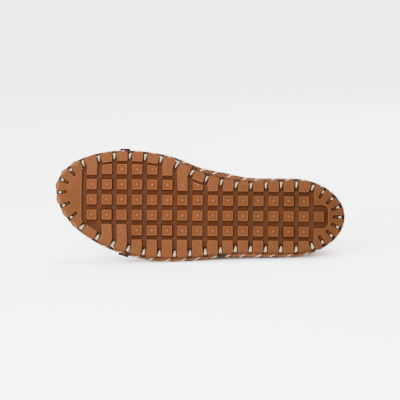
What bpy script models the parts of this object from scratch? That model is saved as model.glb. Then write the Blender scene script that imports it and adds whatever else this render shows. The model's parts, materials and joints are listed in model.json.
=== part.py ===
"""A right slip-on shoe with a whip-stitched gum rubber sole, lying on its outer side.

Pieces: a moulded outsole with square lugs, edge tabs and stitch holes; a leather rand round its rim; a hollow
leather upper open at the collar and underneath; an insole; and two straps that stand proud of the upper.

Everything is worked out in the shoe's own axes, in metres: x runs from the back of the heel to the toe, y towards
the big toe, z up from the ground. One empty then lays the shoe down on the face of its hull that it rests on.
"""

import math

import bmesh
import bpy
import numpy as np
from mathutils import Matrix, Vector

# Driving sizes of the sole
SOLE_LENGTH = 0.285
BALL_WIDTH = 0.102
TREAD_DEPTH = 0.0026
BASE_THICKNESS = 0.0034
TOE_SPRING = 0.009
TOE_TIP_OFFSET = 0.0238
HEEL_ROUND_LENGTH = 0.050
TOE_ROUND_MEDIAL = 0.075
TOE_ROUND_LATERAL = 0.105
HEEL_ROUND_POWER = 2.0
TOE_ROUND_POWER_MEDIAL = 2.2
TOE_ROUND_POWER_LATERAL = 1.9
SPRING_FROM = 0.70

# The tread: lugs in columns along the sole, with tabs and pads round them
LUG_COLUMNS = 15
GROOVE = 0.005
ROW_PITCH = BALL_WIDTH / 6.8
TOE_PAD_LENGTH = 0.026
HEEL_PAD_LENGTH = 0.030
TAB_INNER_REACH = 0.001
TAB_LEAST_REACH = 0.0002
SIDE_GROOVE = 0.002
HEEL_POCKET_WIDTH = ROW_PITCH * 1.53
HEEL_POCKET_LENGTH = 0.0138
HEEL_POCKET_ROUND = ROW_PITCH * 0.40

# The whip stitch's notches and holes
NOTCH_WIDTH = 0.0046
NOTCH_DEPTH = 0.0095
SLOT_WIDTH = 0.0036
SLOT_DEPTH = 0.0118
TOE_SLOTS = 5
HEEL_SLOTS = 7
HOLE_INSET = 0.0080
SLOT_HOLE_INSET = 0.0062
HOLE_ALONG = 0.0042
SLOT_HOLE_ALONG = 0.0034
HOLE_ACROSS = 0.0024
RIM_INSET = 0.0012
TAB_TOP_STEP = 0.0005

# Rand, upper, insole and straps
CLEARANCE = 0.0003
RAND_THICKNESS = 0.0030
RAND_HEIGHT = 0.0080
WALL = 0.0020
INSOLE_THICKNESS = 0.0030
INSTEP_HEIGHT = 0.062
HEEL_HEIGHT = 0.056
TOE_WALL_HEIGHT = 0.013
THROAT_FROM_HEEL = 0.158
COLLAR_DIP = 0.016
SIDE_BULGE = 0.0022
HEEL_BULGE = 0.0024
HEEL_LEAN = 0.0085
TOE_LEAN = 0.0035
RIDGE_SHIFT = 0.004
LATERAL_DROP = 0.0025
STRAP_THICKNESS = 0.0016
TOE_STRAP_WIDTH = 0.010
TOE_STRAP_FROM_THROAT = 0.0565
TOE_STRAP_BOW = 0.008
INSTEP_STRAP_WIDTH = 0.012
INSTEP_STRAP_BEHIND_THROAT = 0.0365
INSTEP_STRAP_RISE = 0.0455
TOE_CAP_LENGTH = 0.030
BULGE_FADE_HEEL = 0.035
BULGE_FADE_TOE = 0.050
RAND_SOFT_CORNER = 0.3

# Mesh fineness
LOOP_POINTS = 800
SIDE_POINTS = 400
SECTION_POINTS = 60
RAND_STEPS = 120
REAR_STATIONS = 24
FRONT_STATIONS = 18
WALL_ROWS = 8
SPRING_CUTS = 9
STRAP_ROWS = 12
WELD = 0.00001
SLOPE_STEP = 0.0005
SLOPE_SHARE = 0.01
SHARP_ANGLE = math.radians(35)

MEDIAL = 1
LATERAL = -1

GUM = (0.36, 0.14, 0.055)
LEATHER = (0.33, 0.13, 0.06)
LINING = (0.42, 0.25, 0.13)

# Half widths of the rubber before its ends are rounded: shares of the length, then of the ball width
OUTLINE = {
    "length": (0.00, 0.15, 0.26, 0.35, 0.42, 0.50, 0.58, 0.66, 0.73, 0.82, 1.00),
    "medial": (0.344, 0.350, 0.341, 0.336, 0.362, 0.424, 0.533, 0.592, 0.612, 0.616, 0.616),
    "lateral": (0.354, 0.360, 0.364, 0.364, 0.376, 0.402, 0.415, 0.415, 0.411, 0.411, 0.411),
}
# How far the rand stands out past the rubber: shares of the length, then of the rand's thickness
OVERHANG = {
    "length": (0.00, 0.10, 0.25, 0.36, 0.42, 0.48, 0.56, 0.70, 0.85, 1.00),
    "medial": (0.40, 0.50, 0.95, 1.60, 2.00, 1.65, 0.85, 0.45, 0.40, 0.15),
    "lateral": (0.40, 0.65, 1.00, 1.00, 0.90, 0.90, 1.00, 0.90, 0.50, 0.15),
}
# The closed top line of the last over the rand's foot: place is -1 at the heel, 0 at the throat and 1 at the toe;
# height is in shares of the instep height, and ridge in shares of its shift
CREST = {
    "place": (-1.00, -0.46, -0.21, -0.10, 0.00, 0.125, 0.28, 0.44, 0.60, 0.75, 0.89, 1.00),
    "height": (1.42, 1.42, 1.32, 1.17, 1.00, 0.88, 0.775, 0.685, 0.60, 0.52, 0.45, 0.38),
    "fullness": (2.7, 2.6, 2.3, 2.1, 2.0, 2.0, 2.05, 2.1, 2.2, 2.35, 2.5, 2.6),
    "ridge": (0.0, 0.0, 0.6, 0.9, 1.0, 1.0, 0.9, 0.7, 0.4, 0.2, 0.0, 0.0),
}
# How far the collar dips under a line from the heel's top to the throat: shares of the way, then of the dip
COLLAR = {
    "way": (0.00, 0.10, 0.25, 0.42, 0.56, 0.70, 0.82, 0.92, 1.00),
    "dip": (0.00, 0.16, 0.58, 0.89, 1.00, 0.89, 0.61, 0.31, 0.00),
}
# What each column of the tread has, from the toe: lone lugs beside the middle one, and how its tab begins
TREAD = {
    "medial_lugs": (2, 3, 3, 3, 3, 2, 1, 2, 1, 1, 1, 1, 1, 1, 1),
    "medial_tab": "long short short short short long long short long long long long long long long".split(),
    "lateral_lugs": (0, 0, 0, 1, 1, 1, 1, 1, 1, 1, 1, 1, 1, 1, 1),
    "lateral_tab": "short long long long long long long long long long long long long long long".split(),
}


def spline(xs, ys, x):
    """A smooth curve through a table's points: the natural cubic."""
    xs, ys = np.asarray(xs, float), np.asarray(ys, float)
    gaps = np.diff(xs)
    slopes = np.diff(ys) / gaps
    n = len(xs)
    system = np.eye(n)
    wanted = np.zeros(n)
    for i in range(1, n - 1):
        system[i, i - 1 : i + 2] = gaps[i - 1], 2 * (gaps[i - 1] + gaps[i]), gaps[i]
        wanted[i] = 6 * (slopes[i] - slopes[i - 1])
    bends = np.linalg.solve(system, wanted)
    x = np.clip(np.asarray(x, float), xs[0], xs[-1])
    i = np.clip(np.searchsorted(xs, x) - 1, 0, n - 2)
    left, right, gap = x - xs[i], xs[i + 1] - x, gaps[i]
    return (
        bends[i] * right**3 / (6 * gap)
        + bends[i + 1] * left**3 / (6 * gap)
        + (ys[i] / gap - bends[i] * gap / 6) * right
        + (ys[i + 1] / gap - bends[i + 1] * gap / 6) * left
    )


def side_name(side):
    return "medial" if side == MEDIAL else "lateral"


def rounded_end(distance, length, power):
    """1 beyond length from an end, falling to 0 at the end as a superellipse does."""
    left = np.clip(1 - np.asarray(distance, float) / length, 0, 1)
    return np.clip(1 - left**power, 0, 1) ** (1 / power)


def rubber_edge(side, x):
    """y of the rubber's rim at x, on one side."""
    full = side * BALL_WIDTH * spline(OUTLINE["length"], OUTLINE[side_name(side)], x / SOLE_LENGTH)
    if side == MEDIAL:
        toe = rounded_end(SOLE_LENGTH - x, TOE_ROUND_MEDIAL, TOE_ROUND_POWER_MEDIAL)
    else:
        toe = rounded_end(SOLE_LENGTH - x, TOE_ROUND_LATERAL, TOE_ROUND_POWER_LATERAL)
    heel = rounded_end(x, HEEL_ROUND_LENGTH, HEEL_ROUND_POWER)
    return np.where(
        x < SOLE_LENGTH / 2,
        full * heel,
        TOE_TIP_OFFSET + (full - TOE_TIP_OFFSET) * toe,
    )


def spring(x):
    """How far the toe lifts the sole at x."""
    ball = SOLE_LENGTH * SPRING_FROM
    return TOE_SPRING * np.clip((np.asarray(x, float) - ball) / (SOLE_LENGTH - ball), 0, None) ** 2


class Loop:
    """A closed outline, walked from the heel along the little toe's side to the toe and back."""

    def __init__(self, points):
        self.points = points
        ahead = np.roll(points, -1, axis=0)
        self.steps = np.linalg.norm(ahead - points, axis=1)
        self.at = np.concatenate([[0], np.cumsum(self.steps)])
        self.length = self.at[-1]
        along = ahead - np.roll(points, 1, axis=0)
        along /= np.linalg.norm(along, axis=1)[:, None]
        self.along = along
        self.out = np.stack([along[:, 1], -along[:, 0]], axis=1)

    def read(self, values, s):
        closed = np.concatenate([values, values[:1]])
        s = np.mod(s, self.length)
        return np.stack([np.interp(s, self.at, closed[:, k]) for k in range(2)], axis=-1)

    def point(self, s, outwards=0.0):
        """The outline's point at distance s along it, moved outwards."""
        return self.read(self.points, s) + outwards * self.read(self.out, s)

    def grown(self, by):
        """Another outline, moved out by an amount for each of this one's points."""
        return Loop(self.points + self.out * np.reshape(by, (-1, 1)))

    def resampled(self, count):
        return Loop(self.point(np.linspace(0, self.length, count, endpoint=False)))

    def side_edge(self, side):
        """x and y of one side, from the heel to the toe, for reading y at an x."""
        toe = int(np.argmax(self.points[:, 0]))
        order = range(0, toe + 1) if side == LATERAL else range(len(self.points), toe - 1, -1)
        picked = self.points[[k % len(self.points) for k in order]]
        return picked[:, 0], picked[:, 1]


def rubber_loop():
    turn = np.linspace(0, math.pi, SIDE_POINTS + 1)
    x = SOLE_LENGTH * (1 - np.cos(turn)) / 2
    lateral = np.stack([x, rubber_edge(LATERAL, x)], axis=1)
    medial = np.stack([x, rubber_edge(MEDIAL, x)], axis=1)
    return Loop(np.concatenate([lateral, medial[-2:0:-1]])).resampled(LOOP_POINTS)


RUBBER = rubber_loop()


def rand_overhang():
    """How far the rand stands out at each point of the rubber's outline."""
    x, y = RUBBER.points.T
    share = np.clip(x / SOLE_LENGTH, 0, 1)
    medial = spline(OVERHANG["length"], OVERHANG["medial"], share)
    lateral = spline(OVERHANG["length"], OVERHANG["lateral"], share)
    return RAND_THICKNESS * np.where(RUBBER.out[:, 1] > 0, medial, lateral)


OUT_BY = rand_overhang()
RAND_OUTER = RUBBER.grown(OUT_BY)
UPPER_FOOT = RUBBER.grown(OUT_BY - RAND_THICKNESS - CLEARANCE)
UPPER_EDGE = {side: UPPER_FOOT.side_edge(side) for side in (MEDIAL, LATERAL)}
FOOT_HEEL = float(UPPER_FOOT.points[:, 0].min())
FOOT_TOE = float(UPPER_FOOT.points[:, 0].max())
FOOT_Z = TREAD_DEPTH + BASE_THICKNESS + CLEARANCE


def new_object(name, mesh):
    obj = bpy.data.objects.new(name, mesh)
    bpy.context.scene.collection.objects.link(obj)
    return obj


def finished(bm, name):
    """A mesh object from a bmesh, with its faces pointing out."""
    bmesh.ops.remove_doubles(bm, verts=bm.verts, dist=WELD)
    bmesh.ops.recalc_face_normals(bm, faces=bm.faces)
    mesh = bpy.data.meshes.new(name)
    bm.to_mesh(mesh)
    bm.free()
    return new_object(name, mesh)


def add_prism(bm, outline, low, high):
    """A closed upright prism on a plan outline."""
    feet = [bm.verts.new((x, y, low)) for x, y in outline]
    tops = [bm.verts.new((x, y, high)) for x, y in outline]
    bm.faces.new(feet)
    bm.faces.new(tops)
    for k in range(len(feet)):
        ahead = (k + 1) % len(feet)
        bm.faces.new((feet[k], feet[ahead], tops[ahead], tops[k]))


def column_pitch():
    return (SOLE_LENGTH - TOE_PAD_LENGTH - HEEL_PAD_LENGTH - GROOVE) / LUG_COLUMNS


def column_centre(column):
    """x of a column's middle, column 0 being next to the toe pad."""
    return SOLE_LENGTH - TOE_PAD_LENGTH - GROOVE - (column + 0.5) * column_pitch() + GROOVE / 2


def lug_length():
    return column_pitch() - GROOVE


def lug_width():
    return ROW_PITCH - GROOVE


def notch_places():
    """Distance along the rubber's outline of each side notch and of each pad's slots."""
    inset = RUBBER.grown(np.full(LOOP_POINTS, -HOLE_INSET))
    places = {}
    for side in (MEDIAL, LATERAL):
        edge_x, _ = inset.side_edge(side)
        count = len(edge_x)
        along = np.arange(count) if side == LATERAL else LOOP_POINTS - np.arange(count)
        places[side] = [
            float(np.interp(column_centre(0) + (0.5 - k) * column_pitch(), edge_x, along))
            * RUBBER.length
            / LOOP_POINTS
            for k in range(LUG_COLUMNS + 1)
        ]
    heel_start, heel_end = places[MEDIAL][-1], places[LATERAL][-1] + RUBBER.length
    toe_start, toe_end = places[LATERAL][0], places[MEDIAL][0]
    places["heel"] = slots_between(heel_start, heel_end, HEEL_SLOTS)
    places["toe"] = slots_between(toe_start, toe_end, TOE_SLOTS)
    return places


def slots_between(start, end, count):
    return [start + (end - start) * (k + 1) / (count + 1) for k in range(count)]


NOTCHES = notch_places()


def notch_frame(s):
    """A notch's point on the rim, its direction along the rim and its direction outwards."""
    return RUBBER.point(s), RUBBER.read(RUBBER.along, s), RUBBER.read(RUBBER.out, s)


def rim_between(start, end, step=0.004):
    """Points on the rim from one distance to another."""
    count = max(2, int(round((end - start) / step)) + 1)
    return [tuple(RUBBER.point(s)) for s in np.linspace(start, end, count)]


def notch_knee(s, towards):
    """The inner corner of a notch, on its side towards larger (1) or smaller (-1) s."""
    rim, along, out = notch_frame(s)
    return tuple(rim + along * towards * NOTCH_WIDTH / 2 - out * NOTCH_DEPTH)


def rectangle(x, y, length, width):
    return [
        (x - length / 2, y - width / 2),
        (x + length / 2, y - width / 2),
        (x + length / 2, y + width / 2),
        (x - length / 2, y + width / 2),
    ]


def trimmed(outline, point, out):
    """The part of an outline on the inner side of a line across out through a point."""
    kept = []
    for k, here in enumerate(outline):
        ahead = outline[(k + 1) % len(outline)]
        beyond, next_beyond = (float(np.dot(np.subtract(p, point), out)) for p in (here, ahead))
        if beyond <= 0:
            kept.append(here)
        if (beyond > 0) != (next_beyond > 0):
            share = beyond / (beyond - next_beyond)
            kept.append(tuple(np.add(here, np.subtract(ahead, here) * share)))
    return kept


def clear_of_tabs(outline):
    """A lug cut back where the tabs' inner ends come too near."""
    middle = np.mean(outline, axis=0)
    nearest = int(np.argmin(np.linalg.norm(RUBBER.points - middle, axis=1)))
    out = RUBBER.out[nearest]
    return trimmed(outline, RUBBER.points[nearest] - out * (NOTCH_DEPTH + SIDE_GROOVE), out)


def lug_outlines():
    """The lone lugs: the middle row, and those beside it that the tread's table gives."""
    found = []
    for column in range(LUG_COLUMNS):
        lateral, medial = TREAD["lateral_lugs"][column], TREAD["medial_lugs"][column]
        for row in range(-lateral, medial + 1):
            lug = rectangle(column_centre(column), row * ROW_PITCH, lug_length(), lug_width())
            found.append(clear_of_tabs(lug))
    found.append(rectangle(HEEL_PAD_LENGTH - lug_length() / 2, 0, lug_length(), lug_width()))
    return found


def tab_outline(column, side):
    """A tab between two notches of one side, reaching in to a row's edge or ending short at its knees."""
    first, second = NOTCHES[side][column], NOTCHES[side][column + 1]
    low, high = min(first, second), max(first, second)
    outline = [notch_knee(low, 1)]
    outline += rim_between(low + NOTCH_WIDTH / 2, high - NOTCH_WIDTH / 2)
    outline.append(notch_knee(high, -1))
    row = TREAD[side_name(side) + "_lugs"][column] + 1
    inner = row * ROW_PITCH - lug_width() / 2 - TAB_INNER_REACH
    knees = min(side * outline[0][1], side * outline[-1][1])
    if TREAD[side_name(side) + "_tab"][column] == "long" and inner < knees - TAB_LEAST_REACH:
        half = lug_length() / 2 * (1 if side == MEDIAL else -1)
        outline.append((column_centre(column) - half, side * inner))
        outline.append((column_centre(column) + half, side * inner))
    return outline


def slot_path(s):
    """The walk into a pad's slot and out again, with a round inner end."""
    rim, along, out = notch_frame(s)
    half = SLOT_WIDTH / 2
    deep = rim - out * (SLOT_DEPTH - half)
    turn = [math.pi * k / 4 for k in range(5)]
    path = [rim - along * half]
    path += [deep - along * half * math.cos(a) - out * half * math.sin(a) for a in turn]
    path.append(rim + along * half)
    return [tuple(p) for p in path]


def pad_rim(start, end, slots):
    """A pad's outer edge from notch to notch, dipping into each of its slots."""
    edge = [notch_knee(start, 1)]
    here = start + NOTCH_WIDTH / 2
    for s in slots:
        edge += rim_between(here, s - SLOT_WIDTH / 2)[:-1]
        edge += slot_path(s)
        here = s + SLOT_WIDTH
    edge += rim_between(here, end - NOTCH_WIDTH / 2)
    edge.append(notch_knee(end, -1))
    return edge


def toe_pad_outline():
    inner = SOLE_LENGTH - TOE_PAD_LENGTH
    edge = pad_rim(NOTCHES[LATERAL][0], NOTCHES[MEDIAL][0], NOTCHES["toe"])
    return edge + [(inner, edge[-1][1] - GROOVE / 2), (inner, edge[0][1] + GROOVE / 2)]


def heel_pad_outline():
    """The heel's pad, open in the middle as a round-cornered pocket for one lug."""
    inner = HEEL_PAD_LENGTH
    edge = pad_rim(NOTCHES[MEDIAL][-1], NOTCHES[LATERAL][-1] + RUBBER.length, NOTCHES["heel"])
    half, deep, turn = HEEL_POCKET_WIDTH / 2, inner - HEEL_POCKET_LENGTH, HEEL_POCKET_ROUND
    corner = [math.pi / 2 * k / 4 for k in range(5)]
    pocket = [(inner, -half)]
    pocket += [(deep + turn * (1 - math.sin(a)), -half + turn * (1 - math.cos(a))) for a in corner]
    pocket += [(x, -y) for x, y in reversed(pocket)]
    return edge + [(inner, edge[-1][1] + GROOVE / 2)] + pocket + [(inner, edge[0][1] - GROOVE / 2)]


def with_boolean(body, tool, operation):
    """The body's mesh after one exact Boolean, with both objects removed."""
    modifier = body.modifiers.new(operation, "BOOLEAN")
    modifier.operation = operation
    modifier.object = tool
    modifier.solver = "EXACT"
    modifier.use_self = True
    graph = bpy.context.evaluated_depsgraph_get()
    mesh = bpy.data.meshes.new_from_object(body.evaluated_get(graph))
    bpy.data.objects.remove(body)
    bpy.data.objects.remove(tool)
    return mesh


def stitch_holes():
    """Each stitch hole: its notch's place, its inset from the rim and its length along the rim."""
    holes = [(s, HOLE_INSET, HOLE_ALONG) for s in NOTCHES[MEDIAL] + NOTCHES[LATERAL]]
    return holes + [(s, SLOT_HOLE_INSET, SLOT_HOLE_ALONG) for s in NOTCHES["heel"] + NOTCHES["toe"]]


def make_outsole():
    """The base, with lugs, tabs and pads joined under it and the stitch holes through it."""
    top = TREAD_DEPTH + BASE_THICKNESS
    rim = RUBBER.grown(np.full(LOOP_POINTS, -RIM_INSET)).resampled(2 * RAND_STEPS)
    bm = bmesh.new()
    add_prism(bm, rim.points, TREAD_DEPTH, top)
    base = finished(bm, "outsole_base")

    bm = bmesh.new()
    for outline in lug_outlines():
        add_prism(bm, outline, 0, TREAD_DEPTH + TAB_TOP_STEP)
    for side in (MEDIAL, LATERAL):
        for column in range(LUG_COLUMNS):
            add_prism(bm, tab_outline(column, side), 0, top - TAB_TOP_STEP)
    add_prism(bm, toe_pad_outline(), 0, top - TAB_TOP_STEP)
    add_prism(bm, heel_pad_outline(), 0, top - TAB_TOP_STEP)
    tread = finished(bm, "outsole_tread")
    block = new_object("outsole_block", with_boolean(base, tread, "UNION"))

    bm = bmesh.new()
    for s, inset, length in stitch_holes():
        rim_point, along, out = notch_frame(s)
        middle = rim_point - out * inset
        a, o = along * length / 2, out * HOLE_ACROSS / 2
        hole = [middle - a - o, middle + a - o, middle + a + o, middle - a + o]
        add_prism(bm, hole, -TREAD_DEPTH, top + TREAD_DEPTH)
    holes = finished(bm, "outsole_holes")
    mesh = with_boolean(block, holes, "DIFFERENCE")

    bm = bmesh.new()
    bm.from_mesh(mesh)
    for x in np.linspace(SOLE_LENGTH * SPRING_FROM, SOLE_LENGTH, SPRING_CUTS, endpoint=False):
        everything = bm.verts[:] + bm.edges[:] + bm.faces[:]
        bmesh.ops.bisect_plane(bm, geom=everything, dist=WELD / 10, plane_co=(x, 0, 0), plane_no=(1, 0, 0))
    bmesh.ops.triangulate(bm, faces=bm.faces)
    for vertex in bm.verts:
        vertex.co.z += float(spring(vertex.co.x))
    return finished(bm, "outsole")


def make_rand():
    """A leather strip on edge round the upper's foot, with its corners taken off."""
    line = RAND_OUTER.resampled(RAND_STEPS)
    soft = RAND_THICKNESS * RAND_SOFT_CORNER
    t, h = RAND_THICKNESS, RAND_HEIGHT
    profile = [(soft, 0), (t - soft / 2, 0), (t, soft / 2), (t, h - soft / 2)]
    profile += [(t - soft / 2, h), (soft, h), (0, h - soft), (0, soft)]
    bm = bmesh.new()
    rings = []
    for point, out in zip(line.points, line.out):
        ring = []
        for inwards, up in profile:
            x, y = point - out * inwards
            ring.append(bm.verts.new((x, y, FOOT_Z + up + float(spring(point[0])))))
        rings.append(ring)
    for k, ring in enumerate(rings):
        ahead = rings[(k + 1) % len(rings)]
        for j in range(len(profile)):
            j_ahead = (j + 1) % len(profile)
            bm.faces.new((ring[j], ahead[j], ahead[j_ahead], ring[j_ahead]))
    return finished(bm, "rand")


def make_insole():
    """A board inside the upper's foot, bent with the sole."""
    inner = UPPER_FOOT.grown(np.full(LOOP_POINTS, -(WALL + 2 * CLEARANCE)))
    low, high = float(inner.points[:, 0].min()), float(inner.points[:, 0].max())
    edges = {side: inner.side_edge(side) for side in (MEDIAL, LATERAL)}
    turn = np.linspace(0, math.pi, 2 * FRONT_STATIONS)
    bm = bmesh.new()
    rings = []
    for x in low + (high - low) * (1 - np.cos(turn)) / 2:
        lateral, medial = (float(np.interp(x, *edges[side])) for side in (LATERAL, MEDIAL))
        foot = FOOT_Z + float(spring(x))
        corners = [(lateral, foot), (medial, foot)]
        corners += [(medial, foot + INSOLE_THICKNESS), (lateral, foot + INSOLE_THICKNESS)]
        rings.append([bm.verts.new((x, y, z)) for y, z in corners])
    for ring, ahead in zip(rings, rings[1:]):
        for j in range(4):
            j_ahead = (j + 1) % 4
            bm.faces.new((ring[j], ahead[j], ahead[j_ahead], ring[j_ahead]))
    bm.faces.new(rings[0])
    bm.faces.new(rings[-1])
    return finished(bm, "insole")


def bump(t):
    """0 outside 0 to 1, and 1 in the middle, with soft ends."""
    return np.sin(math.pi * np.clip(t, 0, 1)) ** 2


def crest(column, x):
    """A column of the crest's table, read at x."""
    reach = THROAT_FROM_HEEL - FOOT_HEEL if x < THROAT_FROM_HEEL else FOOT_TOE - THROAT_FROM_HEEL
    return float(spline(CREST["place"], CREST[column], (x - THROAT_FROM_HEEL) / reach))


def section(x, side):
    """One side of the last at x, from the rand's foot up to the ridge, as points close together."""
    foot_y = float(np.interp(x, *UPPER_EDGE[side]))
    other_y = float(np.interp(x, *UPPER_EDGE[-side]))
    height = INSTEP_HEIGHT * crest("height", x)
    toe_end = float(rounded_end(FOOT_TOE - x, TOE_CAP_LENGTH, HEEL_ROUND_POWER))
    height = TOE_WALL_HEIGHT + (height - TOE_WALL_HEIGHT) * toe_end
    power = 2 / crest("fullness", x)
    ridge = (foot_y + other_y) / 2 + RIDGE_SHIFT * crest("ridge", x)
    angle = np.linspace(0, math.pi / 2, SECTION_POINTS)
    y = ridge + (foot_y - ridge) * np.clip(np.cos(angle), 0, 1) ** power
    z = height * np.sin(angle) ** power
    bulge_top = min(height, HEEL_HEIGHT)
    y = y + side * SIDE_BULGE * bump((z - RAND_HEIGHT) / (bulge_top - RAND_HEIGHT)) * side_weight(x)
    heel = np.clip(1 - (x - FOOT_HEEL) / HEEL_ROUND_LENGTH, 0, 1) ** 1.5
    toe = np.clip(1 - (FOOT_TOE - x) / HEEL_ROUND_LENGTH, 0, 1) ** 1.5
    lean = heel * (HEEL_LEAN * (z / HEEL_HEIGHT) ** 2 - HEEL_BULGE * bump((z - RAND_HEIGHT) / HEEL_HEIGHT))
    lean = lean - toe * TOE_LEAN * (z / TOE_WALL_HEIGHT / 2) ** 1.5
    foot_z = FOOT_Z + float(spring(x))
    return np.stack([x + lean, y, foot_z + z], axis=1)


def side_weight(x):
    """Where the walls bulge: all along the sides, fading at both ends."""
    heel = rounded_end(x - FOOT_HEEL, BULGE_FADE_HEEL, HEEL_ROUND_POWER)
    toe = rounded_end(FOOT_TOE - x, BULGE_FADE_TOE, HEEL_ROUND_POWER)
    return float(heel * toe)


def cut_at(points, height):
    """The points of a section up to a height, with one exactly on it."""
    rise = points[:, 2] - points[0, 2]
    above = int(np.argmax(rise > height)) if (rise > height).any() else 0
    if above == 0:
        return points
    share = (height - rise[above - 1]) / (rise[above] - rise[above - 1])
    last = points[above - 1] + (points[above] - points[above - 1]) * share
    return np.concatenate([points[:above], last[None]])


def lengths_along(points):
    """Distance along a line to each of its points."""
    return np.concatenate([[0], np.cumsum(np.linalg.norm(np.diff(points, axis=0), axis=1))])


def spaced(points, count):
    """The same line with its points spaced evenly."""
    at = lengths_along(points)
    wanted = np.linspace(0, at[-1], count)
    return np.stack([np.interp(wanted, at, points[:, k]) for k in range(3)], axis=1)


def collar_height(x, side):
    """The collar's height over the rand's foot, at an x behind the throat."""
    way = (x - FOOT_HEEL) / (THROAT_FROM_HEEL - FOOT_HEEL)
    line = HEEL_HEIGHT + (INSTEP_HEIGHT - HEEL_HEIGHT) * way
    drop = LATERAL_DROP * float(bump(way)) if side == LATERAL else 0.0
    return line - COLLAR_DIP * float(spline(COLLAR["way"], COLLAR["dip"], way)) - drop


def upper_stations():
    """x of each section: close together at the heel, the throat and the toe."""
    rear = [(1 - math.cos(math.pi * k / REAR_STATIONS)) / 2 for k in range(REAR_STATIONS)]
    front = [math.sin(math.pi / 2 * k / FRONT_STATIONS) for k in range(FRONT_STATIONS + 1)]
    behind = [FOOT_HEEL + (THROAT_FROM_HEEL - FOOT_HEEL) * share for share in rear]
    ahead = [THROAT_FROM_HEEL + (FOOT_TOE - THROAT_FROM_HEEL) * share for share in front]
    return behind, ahead


def make_upper():
    """The hollow upper: its outer skin from heel to toe, thickened inwards."""
    behind, ahead = upper_stations()
    bm = bmesh.new()
    for side in (MEDIAL, LATERAL):
        columns = []
        for x in behind:
            points = cut_at(section(x, side), collar_height(x, side))
            columns.append([bm.verts.new(p) for p in spaced(points, WALL_ROWS + 1)])
        for x in ahead:
            columns.append([bm.verts.new(p) for p in spaced(section(x, side), WALL_ROWS + 1)])
        for left, right in zip(columns, columns[1:]):
            for k in range(WALL_ROWS):
                bm.faces.new((left[k], right[k], right[k + 1], left[k + 1]))
    upper = finished(bm, "upper")
    wall = upper.modifiers.new("wall", "SOLIDIFY")
    wall.thickness = WALL
    wall.offset = -1
    wall.use_even_offset = True
    return upper


def skin_point(x, side, share):
    """A point of the last, by its share of the way from the rand's foot to the ridge."""
    line = section(x, side)
    at = lengths_along(line)
    return np.array([np.interp(share * at[-1], at, line[:, k]) for k in range(3)])


def surface(x, side, share, lift):
    """A point of the last, lifted off the skin."""
    here = skin_point(x, side, share)
    along = skin_point(x + SLOPE_STEP, side, share) - skin_point(x - SLOPE_STEP, side, share)
    above, below = min(1.0, share + SLOPE_SHARE), max(0.0, share - SLOPE_SHARE)
    up = skin_point(x, side, above) - skin_point(x, side, below)
    if share > 1 - SLOPE_SHARE / 2:
        up = np.array([0, -side, 0.0])
    out = np.cross(up, along) * side
    out = out / np.linalg.norm(out)
    if out[2] < 0 and share > 0.5:
        out = -out
    return here + out * lift


def make_strap(name, centre_x, width):
    """A strap over the upper from rand to rand, its middle line's x given for each share of the way up."""
    foot_share = strap_foot_share(centre_x(0))
    shares = [foot_share + (1 - foot_share) * k / STRAP_ROWS for k in range(STRAP_ROWS + 1)]
    bm = bmesh.new()
    rings = []
    for side, order in ((LATERAL, shares), (MEDIAL, shares[-2::-1])):
        for share in order:
            middle = centre_x(share)
            ring = []
            for edge, lift in ((-1, 0), (1, 0), (1, 1), (-1, 1)):
                off = CLEARANCE * 1.5 + STRAP_THICKNESS * lift
                ring.append(bm.verts.new(surface(middle + edge * width / 2, side, share, off)))
            rings.append(ring)
    for ring, ahead in zip(rings, rings[1:]):
        for j in range(4):
            j_ahead = (j + 1) % 4
            bm.faces.new((ring[j], ahead[j], ahead[j_ahead], ring[j_ahead]))
    bm.faces.new(rings[0])
    bm.faces.new(rings[-1])
    return finished(bm, name)


def toe_strap_x(share):
    return THROAT_FROM_HEEL + TOE_STRAP_FROM_THROAT + TOE_STRAP_BOW * math.sin(math.pi / 2 * share)


def instep_strap_x(share):
    return THROAT_FROM_HEEL - INSTEP_STRAP_BEHIND_THROAT + INSTEP_STRAP_RISE * math.sin(math.pi / 2 * share)


def strap_foot_share(x):
    """The share of the way up at which a strap clears the rand's top."""
    line = section(x, LATERAL)
    rise = line[:, 2] - line[0, 2]
    at = lengths_along(line)
    return float(np.interp(RAND_HEIGHT + 3 * CLEARANCE, rise, at) / at[-1])


def paint(obj, colour, roughness):
    """A plain material in the piece's own colour."""
    material = bpy.data.materials.new(obj.name)
    material.use_nodes = True
    shader = material.node_tree.nodes["Principled BSDF"]
    shader.inputs["Base Color"].default_value = (*colour, 1)
    shader.inputs["Roughness"].default_value = roughness
    shader.inputs["Metallic"].default_value = 0
    obj.data.materials.clear()
    obj.data.materials.append(material)
    obj.data.shade_smooth()
    obj.data.set_sharp_from_angle(angle=SHARP_ANGLE)
    return obj


def corners_of(objects):
    """Every point of the finished meshes, in the shoe's axes."""
    graph = bpy.context.evaluated_depsgraph_get()
    found = []
    for obj in objects:
        mesh = obj.evaluated_get(graph).to_mesh()
        points = np.empty(len(mesh.vertices) * 3)
        mesh.vertices.foreach_get("co", points)
        found.append(points.reshape(-1, 3))
    return np.concatenate(found)


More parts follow.
